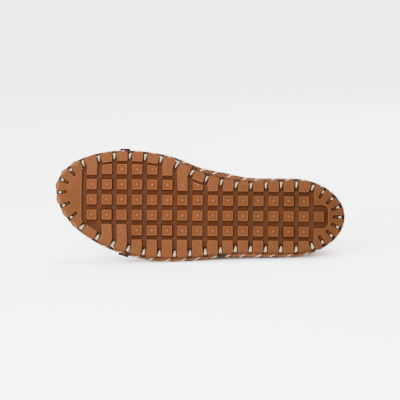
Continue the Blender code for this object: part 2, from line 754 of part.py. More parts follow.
def lying_down(objects):
    """The matrix that lays the shoe on the hull face of its outer side that its middle stands over."""
    points = corners_of(objects)
    middle = Vector(points.mean(axis=0))
    bm = bmesh.new()
    for point in points:
        bm.verts.new(point)
    bmesh.ops.convex_hull(bm, input=bm.verts)
    best, down = -1.0, Vector((0, -1, 0))
    for face in bm.faces:
        normal = face.normal.copy()
        if normal.dot(face.calc_center_median() - middle) < 0:
            normal = -normal
        lateral = -normal.y
        if lateral < 0.8:
            continue
        foot = middle + normal * normal.dot(face.verts[0].co - middle)
        inside = all_on_one_side(face, foot, normal)
        if inside and lateral > best:
            best, down = lateral, normal
    bm.free()
    up = -down
    right = Vector((-1, 0, 0))
    right = (right - up * right.dot(up)).normalized()
    away = up.cross(right)
    turn = Matrix((right, away, up))
    turned = points @ np.array(turn).T
    low, high = turned.min(axis=0), turned.max(axis=0)
    shift = Vector((-(low[0] + high[0]) / 2, -(low[1] + high[1]) / 2, -low[2]))
    return Matrix.Translation(shift) @ turn.to_4x4()


def all_on_one_side(face, point, normal):
    """Whether a point in a face's plane lies within the face."""
    signs = []
    for loop in face.loops:
        start, end = loop.vert.co, loop.link_loop_next.vert.co
        signs.append((end - start).cross(point - start).dot(normal))
    return min(signs) >= 0 or max(signs) <= 0


def main():
    for obj in list(bpy.data.objects):
        bpy.data.objects.remove(obj)
    pieces = [
        paint(make_outsole(), GUM, 0.5),
        paint(make_upper(), LEATHER, 0.6),
        paint(make_insole(), LINING, 0.8),
        paint(make_rand(), LEATHER, 0.6),
        paint(make_strap("toe_strap", toe_strap_x, TOE_STRAP_WIDTH), LEATHER, 0.6),
        paint(make_strap("instep_strap", instep_strap_x, INSTEP_STRAP_WIDTH), LEATHER, 0.6),
    ]
    laid = new_object("laid_on_its_side", None)
    laid.matrix_world = lying_down(pieces)
    for piece in pieces:
        piece.parent = laid


main()
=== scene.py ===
"""Looks for a right slip-on shoe on its outer side: gum sole, whip-stitched rim, woven vamp, leather upper.

All is worked out in the shoe's own axes, in metres: x from the back of the heel to the toe, y towards the big
toe, z up from the ground. The mount on the tread's middle row then says how those axes lie in the frame.
"""

import json
from math import copysign, cos, exp, pi, radians, sin

import bmesh
import bpy
import numpy as np
from mathutils import Matrix, Vector


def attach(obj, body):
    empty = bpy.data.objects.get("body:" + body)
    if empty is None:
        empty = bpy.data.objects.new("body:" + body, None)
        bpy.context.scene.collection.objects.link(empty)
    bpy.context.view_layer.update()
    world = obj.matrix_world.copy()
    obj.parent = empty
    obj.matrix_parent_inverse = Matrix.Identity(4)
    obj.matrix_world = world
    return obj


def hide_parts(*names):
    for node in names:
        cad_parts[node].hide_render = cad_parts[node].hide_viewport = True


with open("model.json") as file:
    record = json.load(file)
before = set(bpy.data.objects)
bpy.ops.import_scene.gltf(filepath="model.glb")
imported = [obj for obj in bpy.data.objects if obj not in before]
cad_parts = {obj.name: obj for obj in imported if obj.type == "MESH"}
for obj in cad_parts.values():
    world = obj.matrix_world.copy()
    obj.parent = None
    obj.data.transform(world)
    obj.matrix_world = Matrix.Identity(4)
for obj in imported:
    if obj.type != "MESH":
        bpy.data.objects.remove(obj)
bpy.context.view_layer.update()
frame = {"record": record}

MEDIAL = 1
LATERAL = -1
SIDES = (MEDIAL, LATERAL)
MM = 0.001

# Sizes that the solids have too
SOLE_LENGTH = 0.285
BALL_WIDTH = 0.102
TREAD_DEPTH = 0.0026
BASE_THICKNESS = 0.0034
TOE_SPRING = 0.009
SPRING_FROM = 0.70
TOE_TIP_OFFSET = 0.0238
HEEL_ROUND_LENGTH = 0.050
HEEL_ROUND_POWER = 2.0
# How far back the toe is rounded on each side, and the power of its superellipse
TOE_ROUND = {MEDIAL: (0.075, 2.2), LATERAL: (0.105, 1.9)}
LUG_COLUMNS = 15
GROOVE = 0.005
ROW_PITCH = BALL_WIDTH / 6.8
TOE_PAD_LENGTH = 0.026
HEEL_PAD_LENGTH = 0.030
COLUMN_PITCH = (SOLE_LENGTH - TOE_PAD_LENGTH - HEEL_PAD_LENGTH - GROOVE) / LUG_COLUMNS
LUG_LENGTH = COLUMN_PITCH - GROOVE
LUG_WIDTH = ROW_PITCH - GROOVE
TAB_INNER_REACH = 0.001
SIDE_GROOVE = 0.002
HEEL_POCKET_WIDTH = ROW_PITCH * 1.53
HEEL_POCKET_LENGTH = 0.0138
HEEL_POCKET_ROUND = ROW_PITCH * 0.40
NOTCH_WIDTH = 0.0046
NOTCH_DEPTH = 0.0095
SLOT_WIDTH = 0.0036
SLOT_DEPTH = 0.0118
TOE_SLOTS = 5
HEEL_SLOTS = 7
HOLE_INSET = 0.0080
SLOT_HOLE_INSET = 0.0062
HOLE_ALONG = 0.0042
SLOT_HOLE_ALONG = 0.0034
HOLE_ACROSS = 0.0024
RIM_INSET = 0.0012
CLEARANCE = 0.0003
RAND_THICKNESS = 0.0030
RAND_HEIGHT = 0.0080
WALL = 0.0020
INSOLE_THICKNESS = 0.0030
INSTEP_HEIGHT = 0.062
HEEL_HEIGHT = 0.056
TOE_WALL_HEIGHT = 0.013
TOE_CAP_LENGTH = 0.030
THROAT = 0.158
COLLAR_DIP = 0.016
SIDE_BULGE = 0.0022
HEEL_BULGE = 0.0024
BULGE_FADE_HEEL = 0.035
BULGE_FADE_TOE = 0.050
HEEL_LEAN = 0.0085
TOE_LEAN = 0.0035
RIDGE_SHIFT = 0.004
LATERAL_DROP = 0.0025
STRAP_THICKNESS = 0.0016
TOE_STRAP_WIDTH = 0.010
TOE_STRAP_FROM_THROAT = 0.0565
TOE_STRAP_BOW = 0.008
INSTEP_STRAP_WIDTH = 0.012
INSTEP_STRAP_BEHIND_THROAT = 0.0365
INSTEP_STRAP_RISE = 0.0455
SOLE_TOP = TREAD_DEPTH + BASE_THICKNESS
FOOT_Z = SOLE_TOP + CLEARANCE
MOUNT_COLUMN = 7

# Fine detail of the tread
LUG_DRAFT = 0.00035
LUG_BORDER = 0.00125
LUG_SINK = 0.00030
LUG_HEART = 0.0029
LUG_STEP = 0.00035
DOT_RADIUS = 0.0010
EDGE_ROUND = 0.00052
RIM_ROUND = 0.0026
RIM_STEP = 0.0017
TOE_RIM_ROUND = 0.0040
TOE_SWELL = 0.0012
SHARP_EDGE = 0.0008
EDGE_LINE = 0.0005
BLOCK_FOOT = SOLE_TOP - 0.0004
ROW_TROUGH = 0.0009
TROUGH_WIDTH = GROOVE - 0.0009
MOAT = 0.0009
MOAT_DEPTH = 0.0017
RIM_CUT = 0.0026
RIB_THICKNESS = 0.0008
RIB_HEIGHT = 0.0005
SLOT_RIB_HEIGHT = 0.0010
# How far the slots' thin sheets of painted shade stand out of the floor
SLOT_SHADE_SHEET = 0.00008
HEEL_RIBS = 4
HEEL_RIB_PITCH = 0.0015
HEEL_RIB_LENGTH = 0.0056
HEEL_RIB_WIDTH = 0.0006

# Painted shade on the rubber, darker towards the heel: from where to where along the frame's x, and what it
# leaves of each colour at the heel
HEEL_SHADE_FROM = 0.0
HEEL_SHADE_TO = 0.14
HEEL_SHADE_PAINTED = (0.76, 0.79, 0.82, 1)

# The cord: thinner on the big toe's side and in a pad's slot, where it also dives earlier, by mm. Where the
# rand stands far out, the cord's marks on it lie further in, up to MARK_SPREAD times.
PLY_RADIUS = 0.00060
PLY_SPREAD = 0.00082
PLIES = 3
PLY_LEAST = 0.62
PLY_SWELL = 0.18
PLY_RISE = 0.45
TWIST_LENGTH = 0.0085
STITCH_SLANT = 0.0135
STITCH_WANDER = 0.10
MEDIAL_CORD = 0.54
SLOT_CORD = 0.66
SLOT_DIVE = 0.9
MARK_SPREAD = 1.8
MARK_START = 0.55
MARK_LEAN = 0.30

# How stitches, painted shade on the underside and the upper's foot shape the rand
STITCH_PRESS = 0.0009
STITCH_GROOVE = 0.0021
RAND_SHADE = 0.0002
NOTCH_SHADE = 0.00135
NOTCH_SHADE_REACH = 0.0023
FLANGE_HEIGHT = 0.0014
SOCK_RAISE = 0.0006

# The sock's dish under the heel and its rise under the arch: place and reach along the shoe, and how far
HEEL_CUP = (0.045, 0.035)
HEEL_CUP_DEPTH = 0.0005
ARCH = (0.115, 0.040)
ARCH_HEIGHT = 0.0012

# The upper, its weave and its straps
WALL_SHARE = 0.55
TAIL_START = 0.0135
FOLD_WIDTH = 0.0035
SWELL_SHARE = 0.45
SWELL_OFFSET = 0.006
SWELL_WIDTH = 0.004
SIDE_LENGTH = 0.075
CROSS_STRIPS = 6
LONG_STRIPS = 14
STRIP_THICKNESS = 0.0010
STRIP_WAVE = 0.00055
STRIP_FILL = 0.92
STRIP_OVERRUN = 0.02
WEAVE_FOOT = 0.145
BACKING_SINK = 0.0011
STRIP_RAISE = 0.0006 - BACKING_SINK
TOE_STRAP_LIFT = 0.0004
INSTEP_STRAP_LIFT = 0.0012
BINDING_THICKNESS = 0.0031
BINDING_HEIGHT = 0.0048
BINDING_DROP = 0.0010
BINDING_INSET = 0.0006

# Fineness
CREASE_ANGLE = radians(38)
LEAST_STEP = 0.00006
LOOP_POINTS = 800
SIDE_POINTS = 400
SECTION_POINTS = 90
SPRING_CUTS = 14
SKIN_STATIONS = 150
SKIN_ROWS = 48
PLATE_POINTS = 360
CORD_STATIONS = 34
CORD_SIDES = 8
RAND_STATIONS = 640
RAND_SIDES = 20
WALL_ROWS = 35
CROSS_STEPS = 7
LONG_STEPS = 9
STRAP_STATIONS = 110

# The photograph's frame: its size, and where the shoe lies in it
FRAME_PIXELS = 400
PIXEL_SIZE = 0.000985
HEEL_PIXEL = 345.5
ROW_PIXEL_AT_HEEL = 217.0
HEEL_POINT = (-0.0012, 0, 0.003)
GRID_TURN = radians(0.56)
LENS = 150
SENSOR = 36

# The stage: what the floor and the world give as light, and how bright the camera sees them
FLOOR_REACH = 12.0
FLOOR_SHADE = 0.80
FLOOR_GLOW = 3.6
WORLD_LIGHT = 0.85
WORLD_GLOW = 4.6

OUTLINE = {
    "length": (0.00, 0.15, 0.26, 0.35, 0.42, 0.50, 0.58, 0.66, 0.73, 0.82, 1.00),
    MEDIAL: (0.344, 0.350, 0.341, 0.336, 0.362, 0.424, 0.533, 0.592, 0.612, 0.616, 0.616),
    LATERAL: (0.354, 0.360, 0.364, 0.364, 0.376, 0.402, 0.415, 0.415, 0.411, 0.411, 0.411),
}
OVERHANG = {
    "length": (0.00, 0.10, 0.25, 0.36, 0.42, 0.48, 0.56, 0.70, 0.85, 1.00),
    MEDIAL: (0.40, 0.50, 0.95, 1.60, 2.00, 1.65, 0.85, 0.45, 0.40, 0.15),
    LATERAL: (0.40, 0.65, 1.00, 1.00, 0.90, 0.90, 1.00, 0.90, 0.50, 0.15),
}
CREST = {
    "place": (-1.00, -0.46, -0.21, -0.10, 0.00, 0.125, 0.28, 0.44, 0.60, 0.75, 0.89, 1.00),
    "height": (1.42, 1.42, 1.32, 1.17, 1.00, 0.88, 0.775, 0.685, 0.60, 0.52, 0.45, 0.38),
    "fullness": (2.7, 2.6, 2.3, 2.1, 2.0, 2.0, 2.05, 2.1, 2.2, 2.35, 2.5, 2.6),
    "ridge": (0.0, 0.0, 0.6, 0.9, 1.0, 1.0, 0.9, 0.7, 0.4, 0.2, 0.0, 0.0),
}
COLLAR = {
    "way": (0.00, 0.10, 0.25, 0.42, 0.56, 0.70, 0.82, 0.92, 1.00),
    "dip": (0.00, 0.16, 0.58, 0.89, 1.00, 0.89, 0.61, 0.31, 0.00),
}
# Rows of lugs beside the middle row, column by column from the toe, and the columns whose tabs are short
LUG_ROWS = {
    MEDIAL: (2, 3, 3, 3, 3, 2, 1, 2, 1, 1, 1, 1, 1, 1, 1),
    LATERAL: (0, 0, 0, 1, 1, 1, 1, 1, 1, 1, 1, 1, 1, 1, 1),
}
SHORT_TABS = {MEDIAL: (1, 2, 3, 4, 7), LATERAL: (0,)}
# Lugs, by column and row, that stand in a moat of their own, those with no dot, and tabs that have one
MOATED = {(1, 2), (1, 0), (5, 2), (5, -1), (13, 1), (13, -1)}
DOTLESS = {(1, 3), (2, 0)}
DOTTED_TABS = ((2, LATERAL), (6, MEDIAL))
# A dot's rings: radius and rise in shares
DOME = ((1.0, 0.0), (0.86, 0.6), (0.5, 0.95))
# How a notch and a slot open towards the rim: inset from the rim, half width and edge rounding, in mm
NOTCH_MOUTH = (
    (5.0, 2.30, 0.45), (3.0, 2.30, 0.5), (1.9, 2.36, 0.7), (1.2, 2.5, 1.0),
    (0.6, 2.8, 1.4), (0.2, 3.25, 1.8), (0.0, 3.9, 2.2),
)
SLOT_MOUTH = ((2.6, 1.80, 0.5), (1.5, 1.85, 0.9), (0.7, 2.05, 1.3), (0.2, 2.45, 1.8), (0.0, 3.0, 2.2))
# One stitch, from its hole over the rubber's edge and the rand's face to the seam: what it is measured from,
# how far along the slant, outwards and up in mm, which way it faces, and its width
STITCH_KEYS = {
    "from": "hole hole hole rim rim rim rim rand rand rand rand rand rand rand".split(),
    "slant": (-0.03, -0.03, -0.02, -0.01, 0.00, 0.02, 0.06, 0.26, 0.36, 0.50, 0.60, 0.70, 0.86, 1.00),
    "out": (0.0, 0.2, 1.0, -4.4, -3.0, -2.3, -2.2, -2.6, -2.2, -1.45, -0.75, -0.47, -1.2, -2.9),
    "up": (5.6, 3.5, 2.1, 1.7, 2.1, 3.8, 6.8, 8.2, 6.8, 6.25, 6.5, 9.0, 14.6, 13.8),
    "face_out": (0, 0, 0, 0.1, 0.5, 0.9, 0.9, 0.5, 0.3, 0.1, 0.7, 1, 0.5, 0),
    "face_up": (-1, -1, -1, -1, -0.9, -0.5, -0.3, -0.6, -0.9, -1, -0.7, 0, 0.9, 1),
    "width": (0.15, 0.22, 0.38, 0.75, 1.10, 1.05, 0.8, 0.4, 0.35, 0.35, 0.45, 0.75, 0.7, 0.6),
}
# Where the straps' ends darken the rand's underside with painted shade: middle and half width in shares of
# the length, and reach in mm
STRAP_SHADES = {LATERAL: ((0.423, 0.024, 2.5), (0.748, 0.012, 2.2)), MEDIAL: ((0.748, 0.018, 1.2),)}
# The rand's braided stretch on the big toe's side, in shares of the sole's length
BRAIDED = (0.34, 0.66)
# The rand's foot under the upper: the height it starts from, and its place inside the rubber's rim and up
FLANGE = ((0.0, -0.0012, -0.0002), (0.0003, 0.0, -0.0001), (0.0008, 0.0006, 0.0004))
# Creases of the quarters: place along the throat's distance, height share, length and depth in mm, slope
CREASES = ((0.86, 0.45, 16, 0.55, -0.6), (0.78, 0.35, 14, 0.40, -0.7), (0.30, 0.62, 15, 0.35, 0.5))
# A strap's and a woven strip's sections, in shares of half width and thickness, and the strap's edges' slots
STRAP_PROFILE = (
    (-1.0, 0.0), (-1.0, 0.55), (-0.93, 0.9), (-0.8, 1.0), (0.8, 1.0), (0.93, 0.9), (1.0, 0.55), (1.0, 0.0),
)
STRAP_SLOTS = (1, 1, 0, 0, 0, 1, 1, 1)
STRIP_PROFILE = (
    (-1.0, 0.15), (-0.86, 0.85), (-0.4, 1.0), (0.4, 1.0), (0.86, 0.85), (1.0, 0.15), (0.6, 0.0), (-0.6, 0.0),
)
# A strap's end over the rand: outwards from the rand's face and up from its foot in mm, and its facing
TAIL_KEYS = (
    (-1.1, 11.2, 0.8, 0.55), (-0.2, 9.4, 0.85, 0.5), (0.30, 7.8, 1.0, 0.2), (0.35, 5.5, 1.0, 0.0),
    (0.35, 3.0, 1.0, 0.0), (0.35, 0.8, 1.0, 0.0), (0.20, -0.1, 1.0, -0.1),
)


def spline(xs, ys, x):
    """A smooth curve through a table's points: the natural cubic."""
    xs, ys = np.asarray(xs, float), np.asarray(ys, float)
    gaps = np.diff(xs)
    slopes = np.diff(ys) / gaps
    n = len(xs)
    system = np.eye(n)
    wanted = np.zeros(n)
    for i in range(1, n - 1):
        system[i, i - 1 : i + 2] = gaps[i - 1], 2 * (gaps[i - 1] + gaps[i]), gaps[i]
        wanted[i] = 6 * (slopes[i] - slopes[i - 1])
    bends = np.linalg.solve(system, wanted)
    x = np.clip(np.asarray(x, float), xs[0], xs[-1])
    i = np.clip(np.searchsorted(xs, x) - 1, 0, n - 2)
    left, right, gap = x - xs[i], xs[i + 1] - x, gaps[i]
    ends = ((bends[i], ys[i], right), (bends[i + 1], ys[i + 1], left))
    return sum(bend * away**3 / (6 * gap) + (y / gap - bend * gap / 6) * away for bend, y, away in ends)


def unit(v):
    return v / np.linalg.norm(v, axis=-1, keepdims=True)


def bump(t):
    """0 outside 0 to 1, and 1 in the middle, with soft ends."""
    return np.sin(pi * np.clip(t, 0, 1)) ** 2


def hill(x, middle, width):
    """1 at a middle, falling to 0 on both sides as a bell does."""
    return np.exp(-(((x - middle) / width) ** 2))


def arc(angle, steps):
    return [angle * k / steps for k in range(steps + 1)]


def oval(centre, wide, thick, count):
    """Points round a centre, by its two half axes."""
    return [centre + wide * cos(a) + thick * sin(a) for a in arc(2 * pi, count)[:-1]]


def rounded_end(distance, length, power):
    """1 beyond length from an end, falling to 0 at the end as a superellipse does."""
    left = np.clip(1 - distance / length, 0, 1)
    return np.clip(1 - left**power, 0, 1) ** (1 / power)


def rubber_edge(side, x):
    """y of the rubber's rim at x, on one side."""
    full = side * BALL_WIDTH * spline(OUTLINE["length"], OUTLINE[side], x / SOLE_LENGTH)
    toe = rounded_end(SOLE_LENGTH - x, *TOE_ROUND[side])
    heel = rounded_end(x, HEEL_ROUND_LENGTH, HEEL_ROUND_POWER)
    return np.where(x < SOLE_LENGTH / 2, full * heel, TOE_TIP_OFFSET + (full - TOE_TIP_OFFSET) * toe)


def spring(x):
    """How far the toe lifts the sole at x."""
    ball = SOLE_LENGTH * SPRING_FROM
    return TOE_SPRING * np.clip((x - ball) / (SOLE_LENGTH - ball), 0, None) ** 2


SPRING_PLACES = np.linspace(SOLE_LENGTH * SPRING_FROM, SOLE_LENGTH, SPRING_CUTS, endpoint=False).tolist()


class Loop:
    """A closed outline, walked from the heel along the little toe's side to the toe and back."""

    def __init__(self, points):
        self.points = points
        ahead = np.roll(points, -1, axis=0)
        self.at = np.concatenate([[0], np.cumsum(np.linalg.norm(ahead - points, axis=1))])
        self.length = self.at[-1]
        self.along = unit(ahead - np.roll(points, 1, axis=0))
        self.out = np.stack([self.along[:, 1], -self.along[:, 0]], axis=1)

    def read(self, values, s):
        """One value or a pair for each of the outline's points, read at distance s along it."""
        closed = np.concatenate([values, values[:1]])
        s = np.mod(s, self.length)
        if closed.ndim == 1:
            return np.interp(s, self.at, closed)
        return np.stack([np.interp(s, self.at, column) for column in closed.T], axis=-1)

    def grown(self, by):
        """Another outline, moved out by one amount, or by one for each point."""
        return Loop(self.points + self.out * np.reshape(by, (-1, 1)))

    def resampled(self, count):
        return Loop(self.read(self.points, np.linspace(0, self.length, count, endpoint=False)))

    def numbers(self, side):
        """The numbers of one side's points, from the heel to the toe."""
        toe = int(np.argmax(self.points[:, 0]))
        return np.arange(toe + 1) if side == LATERAL else np.arange(len(self.points), toe - 1, -1)

    def side_edge(self, side):
        """x and y of one side, from the heel to the toe, for reading y at an x."""
        return self.points[self.numbers(side) % len(self.points)].T


def rubber_loop():
    x = SOLE_LENGTH * (1 - np.cos(np.linspace(0, pi, SIDE_POINTS + 1))) / 2
    lateral, medial = (np.stack([x, rubber_edge(side, x)], axis=1) for side in (LATERAL, MEDIAL))
    return Loop(np.concatenate([lateral, medial[-2:0:-1]])).resampled(LOOP_POINTS)


RUBBER = rubber_loop()


def rand_overhang():
    """How far the rand stands out at each point of the rubber's outline."""
    share = np.clip(RUBBER.points[:, 0] / SOLE_LENGTH, 0, 1)
    medial, lateral = (spline(OVERHANG["length"], OVERHANG[side], share) for side in SIDES)
    return RAND_THICKNESS * np.where(RUBBER.out[:, 1] > 0, medial, lateral)


OUT_BY = rand_overhang()
UPPER_FOOT = RUBBER.grown(OUT_BY - RAND_THICKNESS - CLEARANCE)
UPPER_EDGE = {side: UPPER_FOOT.side_edge(side) for side in SIDES}
FOOT_HEEL = float(UPPER_FOOT.points[:, 0].min())
FOOT_TOE = float(UPPER_FOOT.points[:, 0].max())


def column_centre(column):
    """x of a column's middle, column 0 being next to the toe pad."""
    return SOLE_LENGTH - TOE_PAD_LENGTH - GROOVE / 2 - (column + 0.5) * COLUMN_PITCH


def shoe_matrix():
    """From the shoe's own axes to the frame's: the mount lies on the middle row's lug in one column."""
    mount = frame["record"]["mounts"][0]
    up = -Vector(mount["axis"]).normalized()
    toe = Vector((0, 1, 0)).cross(up).normalized()
    origin = Vector(mount["pos_m"]) - toe * column_centre(MOUNT_COLUMN)
    turn = Matrix((toe, up.cross(toe), up)).transposed()
    return Matrix.Translation(origin) @ turn.to_4x4()


SHOE = shoe_matrix()


def notch_places():
    """Distance along the rubber's outline of each side's notches and of each pad's slots."""
    inset = RUBBER.grown(-HOLE_INSET)
    wanted = [column_centre(k - 0.5) for k in range(LUG_COLUMNS + 1)]
    places = {}
    for side in SIDES:
        number = np.interp(wanted, inset.side_edge(side)[0], inset.numbers(side))
        places[side] = list(number * RUBBER.length / LOOP_POINTS)
    heel = np.linspace(places[MEDIAL][-1], places[LATERAL][-1] + RUBBER.length, HEEL_SLOTS + 2)
    toe = np.linspace(places[LATERAL][0], places[MEDIAL][0], TOE_SLOTS + 2)
    return {**places, "heel": list(heel[1:-1]), "toe": list(toe[1:-1])}


NOTCHES = notch_places()
STITCHES = sorted(s % RUBBER.length for group in NOTCHES.values() for s in group)
SLOTS = {s % RUBBER.length for s in NOTCHES["heel"] + NOTCHES["toe"]}


def near_rim(s, ahead=0.0, outwards=0.0):
    """A point of the plan, measured along the rim and outwards from a place on it."""
    rim, along, out = (RUBBER.read(values, s) for values in (RUBBER.points, RUBBER.along, RUBBER.out))
    return rim + along * ahead + out * outwards


def hole_size(s):
    """A stitch hole's inset from the rim and its length along it."""
    return (SLOT_HOLE_INSET, SLOT_HOLE_ALONG) if s in SLOTS else (HOLE_INSET, HOLE_ALONG)


class Shape:
    """A mesh made in the shoe's own axes, with a material slot for each face."""

    def __init__(self):
        self.points, self.faces, self.slots = [], [], []

    def ring(self, points):
        start = len(self.points)
        self.points.extend(tuple(float(c) for c in p) for p in points)
        return list(range(start, len(self.points)))

    def face(self, corners, slot=0):
        self.faces.append(tuple(corners))
        self.slots.append(slot)

    def bridge(self, first, second, slots=0, closed=True):
        """A band of faces, with one slot or a tuple of a slot each."""
        count = len(first)
        for k in range(count if closed else count - 1):
            ahead = (k + 1) % count
            slot = slots[k] if isinstance(slots, tuple) else slots
            self.face((first[k], first[ahead], second[ahead], second[k]), slot)

    def skin(self, rings, bands=0, start=None, end=None):
        """Bands of faces through rings of points, with the same slots for all or a list of them.

        A start or end slot closes that end with a face. Without both, the last ring joins the first.
        """
        rings = [self.ring(points) for points in rings]
        if start is not None:
            self.face(rings[0], start)
        if end is not None:
            self.face(rings[-1], end)
        if start is None and end is None:
            rings.append(rings[0])
        for k, (first, second) in enumerate(zip(rings, rings[1:])):
            self.bridge(first, second, bands[k] if isinstance(bands, list) else bands)

    def sheet(self, rows, slot=0):
        """An open skin through lines of points, and those lines."""
        rows = [self.ring(points) for points in rows]
        for first, second in zip(rows, rows[1:]):
            self.bridge(first, second, slot, closed=False)
        return rows

    def made(self, name, materials, cuts=(), lifted=False, turned=True):
        """The object, in the frame's place: cut across at some x, and lifted by the toe's spring."""
        mesh = bpy.data.meshes.new(name)
        mesh.from_pydata(self.points, [], self.faces)
        mesh.polygons.foreach_set("material_index", self.slots)
        bm = bmesh.new()
        bm.from_mesh(mesh)
        for x in cuts:
            everything = bm.verts[:] + bm.edges[:] + bm.faces[:]
            bmesh.ops.bisect_plane(bm, geom=everything, dist=1e-7, plane_co=(x, 0, 0), plane_no=(1, 0, 0))
        if lifted:
            for vertex in bm.verts:
                vertex.co.z += spring(vertex.co.x)
        if turned:
            bmesh.ops.recalc_face_normals(bm, faces=bm.faces)
        bmesh.ops.triangulate(bm, faces=[f for f in bm.faces if len(f.verts) > 4])
        bm.to_mesh(mesh)
        bm.free()
        mesh.transform(SHOE)
        for material in materials:
            mesh.materials.append(material)
        mesh.shade_smooth()
        mesh.set_sharp_from_angle(angle=CREASE_ANGLE)
        return linked(name, mesh)


def linked(name, data):
    obj = bpy.data.objects.new(name, data)
    bpy.context.scene.collection.objects.link(obj)
    return obj


def tidy_outline(outline):
    """Rows of x, y and rounding radius, anticlockwise, with no two points too close."""
    rows = [np.asarray(outline[0], float)]
    for row in np.asarray(outline[1:], float):
        if np.linalg.norm(row[:2] - rows[-1][:2]) > LEAST_STEP:
            rows.append(row)
    if np.linalg.norm(rows[0][:2] - rows[-1][:2]) < LEAST_STEP:
        rows.pop()
    rows = np.array(rows)
    x, y = rows[:, 0], rows[:, 1]
    return rows if np.sum(x * np.roll(y, -1) - np.roll(x, -1) * y) > 0 else rows[::-1]


def inset_steps(points):
    """For each corner of an anticlockwise outline, the move that insets its sides by 1."""
    ahead = unit(np.roll(points, -1, axis=0) - points)
    second = np.stack([-ahead[:, 1], ahead[:, 0]], axis=1)
    first = np.roll(second, 1, axis=0)
    spread = 1 + np.sum(first * second, axis=1)
    return (first + second) / np.clip(spread, 0.6, None)[:, None]


def at_height(points, height):
    return np.column_stack([points, np.broadcast_to(height, len(points))])


def soft_block(shape, outline, side_slot, top_slot, steps=4):
    """A block on a plan outline, its edge rounded by each point's radius, with a pale line of painted
    highlight beside it. Where its corners are tight, the edge is pale too as painted highlight, and the wall
    is dark as painted shade.
    """
    rows = tidy_outline(outline)
    points, radius = rows[:, :2], rows[:, 2]
    inwards = inset_steps(points)
    levels = [(radius * (1 - cos(a)), radius * (1 - sin(a))) for a in arc(pi / 2, steps)]
    levels.append((radius + EDGE_LINE, 0.0))
    rings = [at_height(points, BLOCK_FOOT)]
    rings += [at_height(points + inwards * inset[:, None], height) for inset, height in levels]
    tight = np.maximum(radius, np.roll(radius, -1)) < SHARP_EDGE
    walls, edges, line = (
        tuple(narrow if is_tight else wide for is_tight in tight)
        for narrow, wide in ((DEEP, side_slot), (BORDER, side_slot), (BORDER, TAB))
    )
    shape.skin(rings, [walls] + [edges] * steps + [line], end=top_slot)


def rounded_corners(points, radius):
    """Each corner of an outline as three points on a short arc."""
    found = []
    for k, here in enumerate(points):
        back, on = unit(points[k - 1] - here), unit(points[(k + 1) % len(points)] - here)
        found += [here + back * radius, here + (back + on) * radius * 0.3, here + on * radius]
    return np.array(found)


def stepped_block(shape, outline, levels, corner=0.0002):
    """A block on a plan outline through levels of inset, height and slot, closed at the last."""
    points = tidy_outline(outline)
    inwards = inset_steps(points)
    rings = []
    for inset, height, _ in levels:
        rings.append(at_height(rounded_corners(points + inwards * inset, corner), height))
    shape.skin(rings, [slot for _, _, slot in levels[1:]], end=levels[-1][2])


def rectangle(x, y, length, width):
    corners = ((-1, -1), (1, -1), (1, 1), (-1, 1))
    return [(x + i * length / 2, y + j * width / 2) for i, j in corners]


def rim_box(s, inset, length, width):
    """A rectangle turned with the rim, its middle at an inset from it."""
    return [near_rim(s, i, j - inset) for i, j in rectangle(0, 0, length, width)]


def trimmed(outline, point, out):
    """The part of an outline on the inner side of a line across out through a point."""
    kept = []
    for k, here in enumerate(outline):
        ahead = outline[(k + 1) % len(outline)]
        beyond, next_beyond = (float(np.dot(np.subtract(p, point), out)) for p in (here, ahead))
        if beyond <= 0:
            kept.append(here)
        if (beyond > 0) != (next_beyond > 0):
            share = beyond / (beyond - next_beyond)
            kept.append(tuple(np.add(here, np.subtract(ahead, here) * share)))
    return kept


def lugs():
    """Column, row and outline of each lone lug, cut back where the tabs' inner ends come too near."""
    for column in range(LUG_COLUMNS):
        for row in range(-LUG_ROWS[LATERAL][column], LUG_ROWS[MEDIAL][column] + 1):
            middle = (column_centre(column), row * ROW_PITCH)
            nearest = int(np.argmin(np.linalg.norm(RUBBER.points - middle, axis=1)))
            out = RUBBER.out[nearest]
            limit = RUBBER.points[nearest] - out * (NOTCH_DEPTH + SIDE_GROOVE)
            yield column, row, trimmed(rectangle(*middle, LUG_LENGTH, LUG_WIDTH), limit, out)


def knee(s, towards):
    """The inner corner of a notch, on its side towards larger (1) or smaller (-1) s."""
    return (*near_rim(s, towards * NOTCH_WIDTH / 2, -NOTCH_DEPTH), EDGE_ROUND)


def mouth(s, towards, table):
    """One side of a notch's mouth, from its depth out to the rim, which it follows close to it."""
    out = RUBBER.read(RUBBER.out, s)
    rows = []
    for inset, half, radius in table:
        reach = near_rim(s, towards * half * MM) if inset > 1.0 else near_rim(s + towards * half * MM)
        rows.append((*(reach - out * inset * MM), radius * MM))
    return rows


def rim_run(start, end, first=NOTCH_MOUTH, last=NOTCH_MOUTH, rounding=RIM_ROUND, swell=0.0):
    """The rim from one notch's middle to the next one's, with both mouths' sides and a swell between them."""
    low, high = start + first[-1][1] * MM, end - last[-1][1] * MM
    count = max(2, int(round((high - low) / RIM_STEP)))
    middle = []
    for share in np.linspace(0, 1, count + 1)[1:-1]:
        lobe = swell * sin(pi * share) ** 0.7
        middle.append((*near_rim(low + (high - low) * share, outwards=lobe), rounding))
    return mouth(start, 1, first) + middle + mouth(end, -1, last)[::-1]


def tab_outline(column, side):
    """A tab between two notches, with its rounding."""
    low, high = sorted(NOTCHES[side][column : column + 2])
    outline = [knee(low, 1), *rim_run(low, high), knee(high, -1)]
    inner = (LUG_ROWS[side][column] + 1) * ROW_PITCH - LUG_WIDTH / 2 - TAB_INNER_REACH
    if column not in SHORT_TABS[side] and inner < min(side * outline[0][1], side * outline[-1][1]):
        half = side * LUG_LENGTH / 2
        outline += [(column_centre(column) + way * half, side * inner, EDGE_ROUND) for way in (-1, 1)]
    return outline


def slot_end(s):
    """The round inner end of a pad's slot."""
    half = SLOT_WIDTH / 2
    turned = [(-half * cos(a), half - SLOT_DEPTH - half * sin(a)) for a in arc(pi, 8)]
    return [(*near_rim(s, *move), EDGE_ROUND) for move in turned]


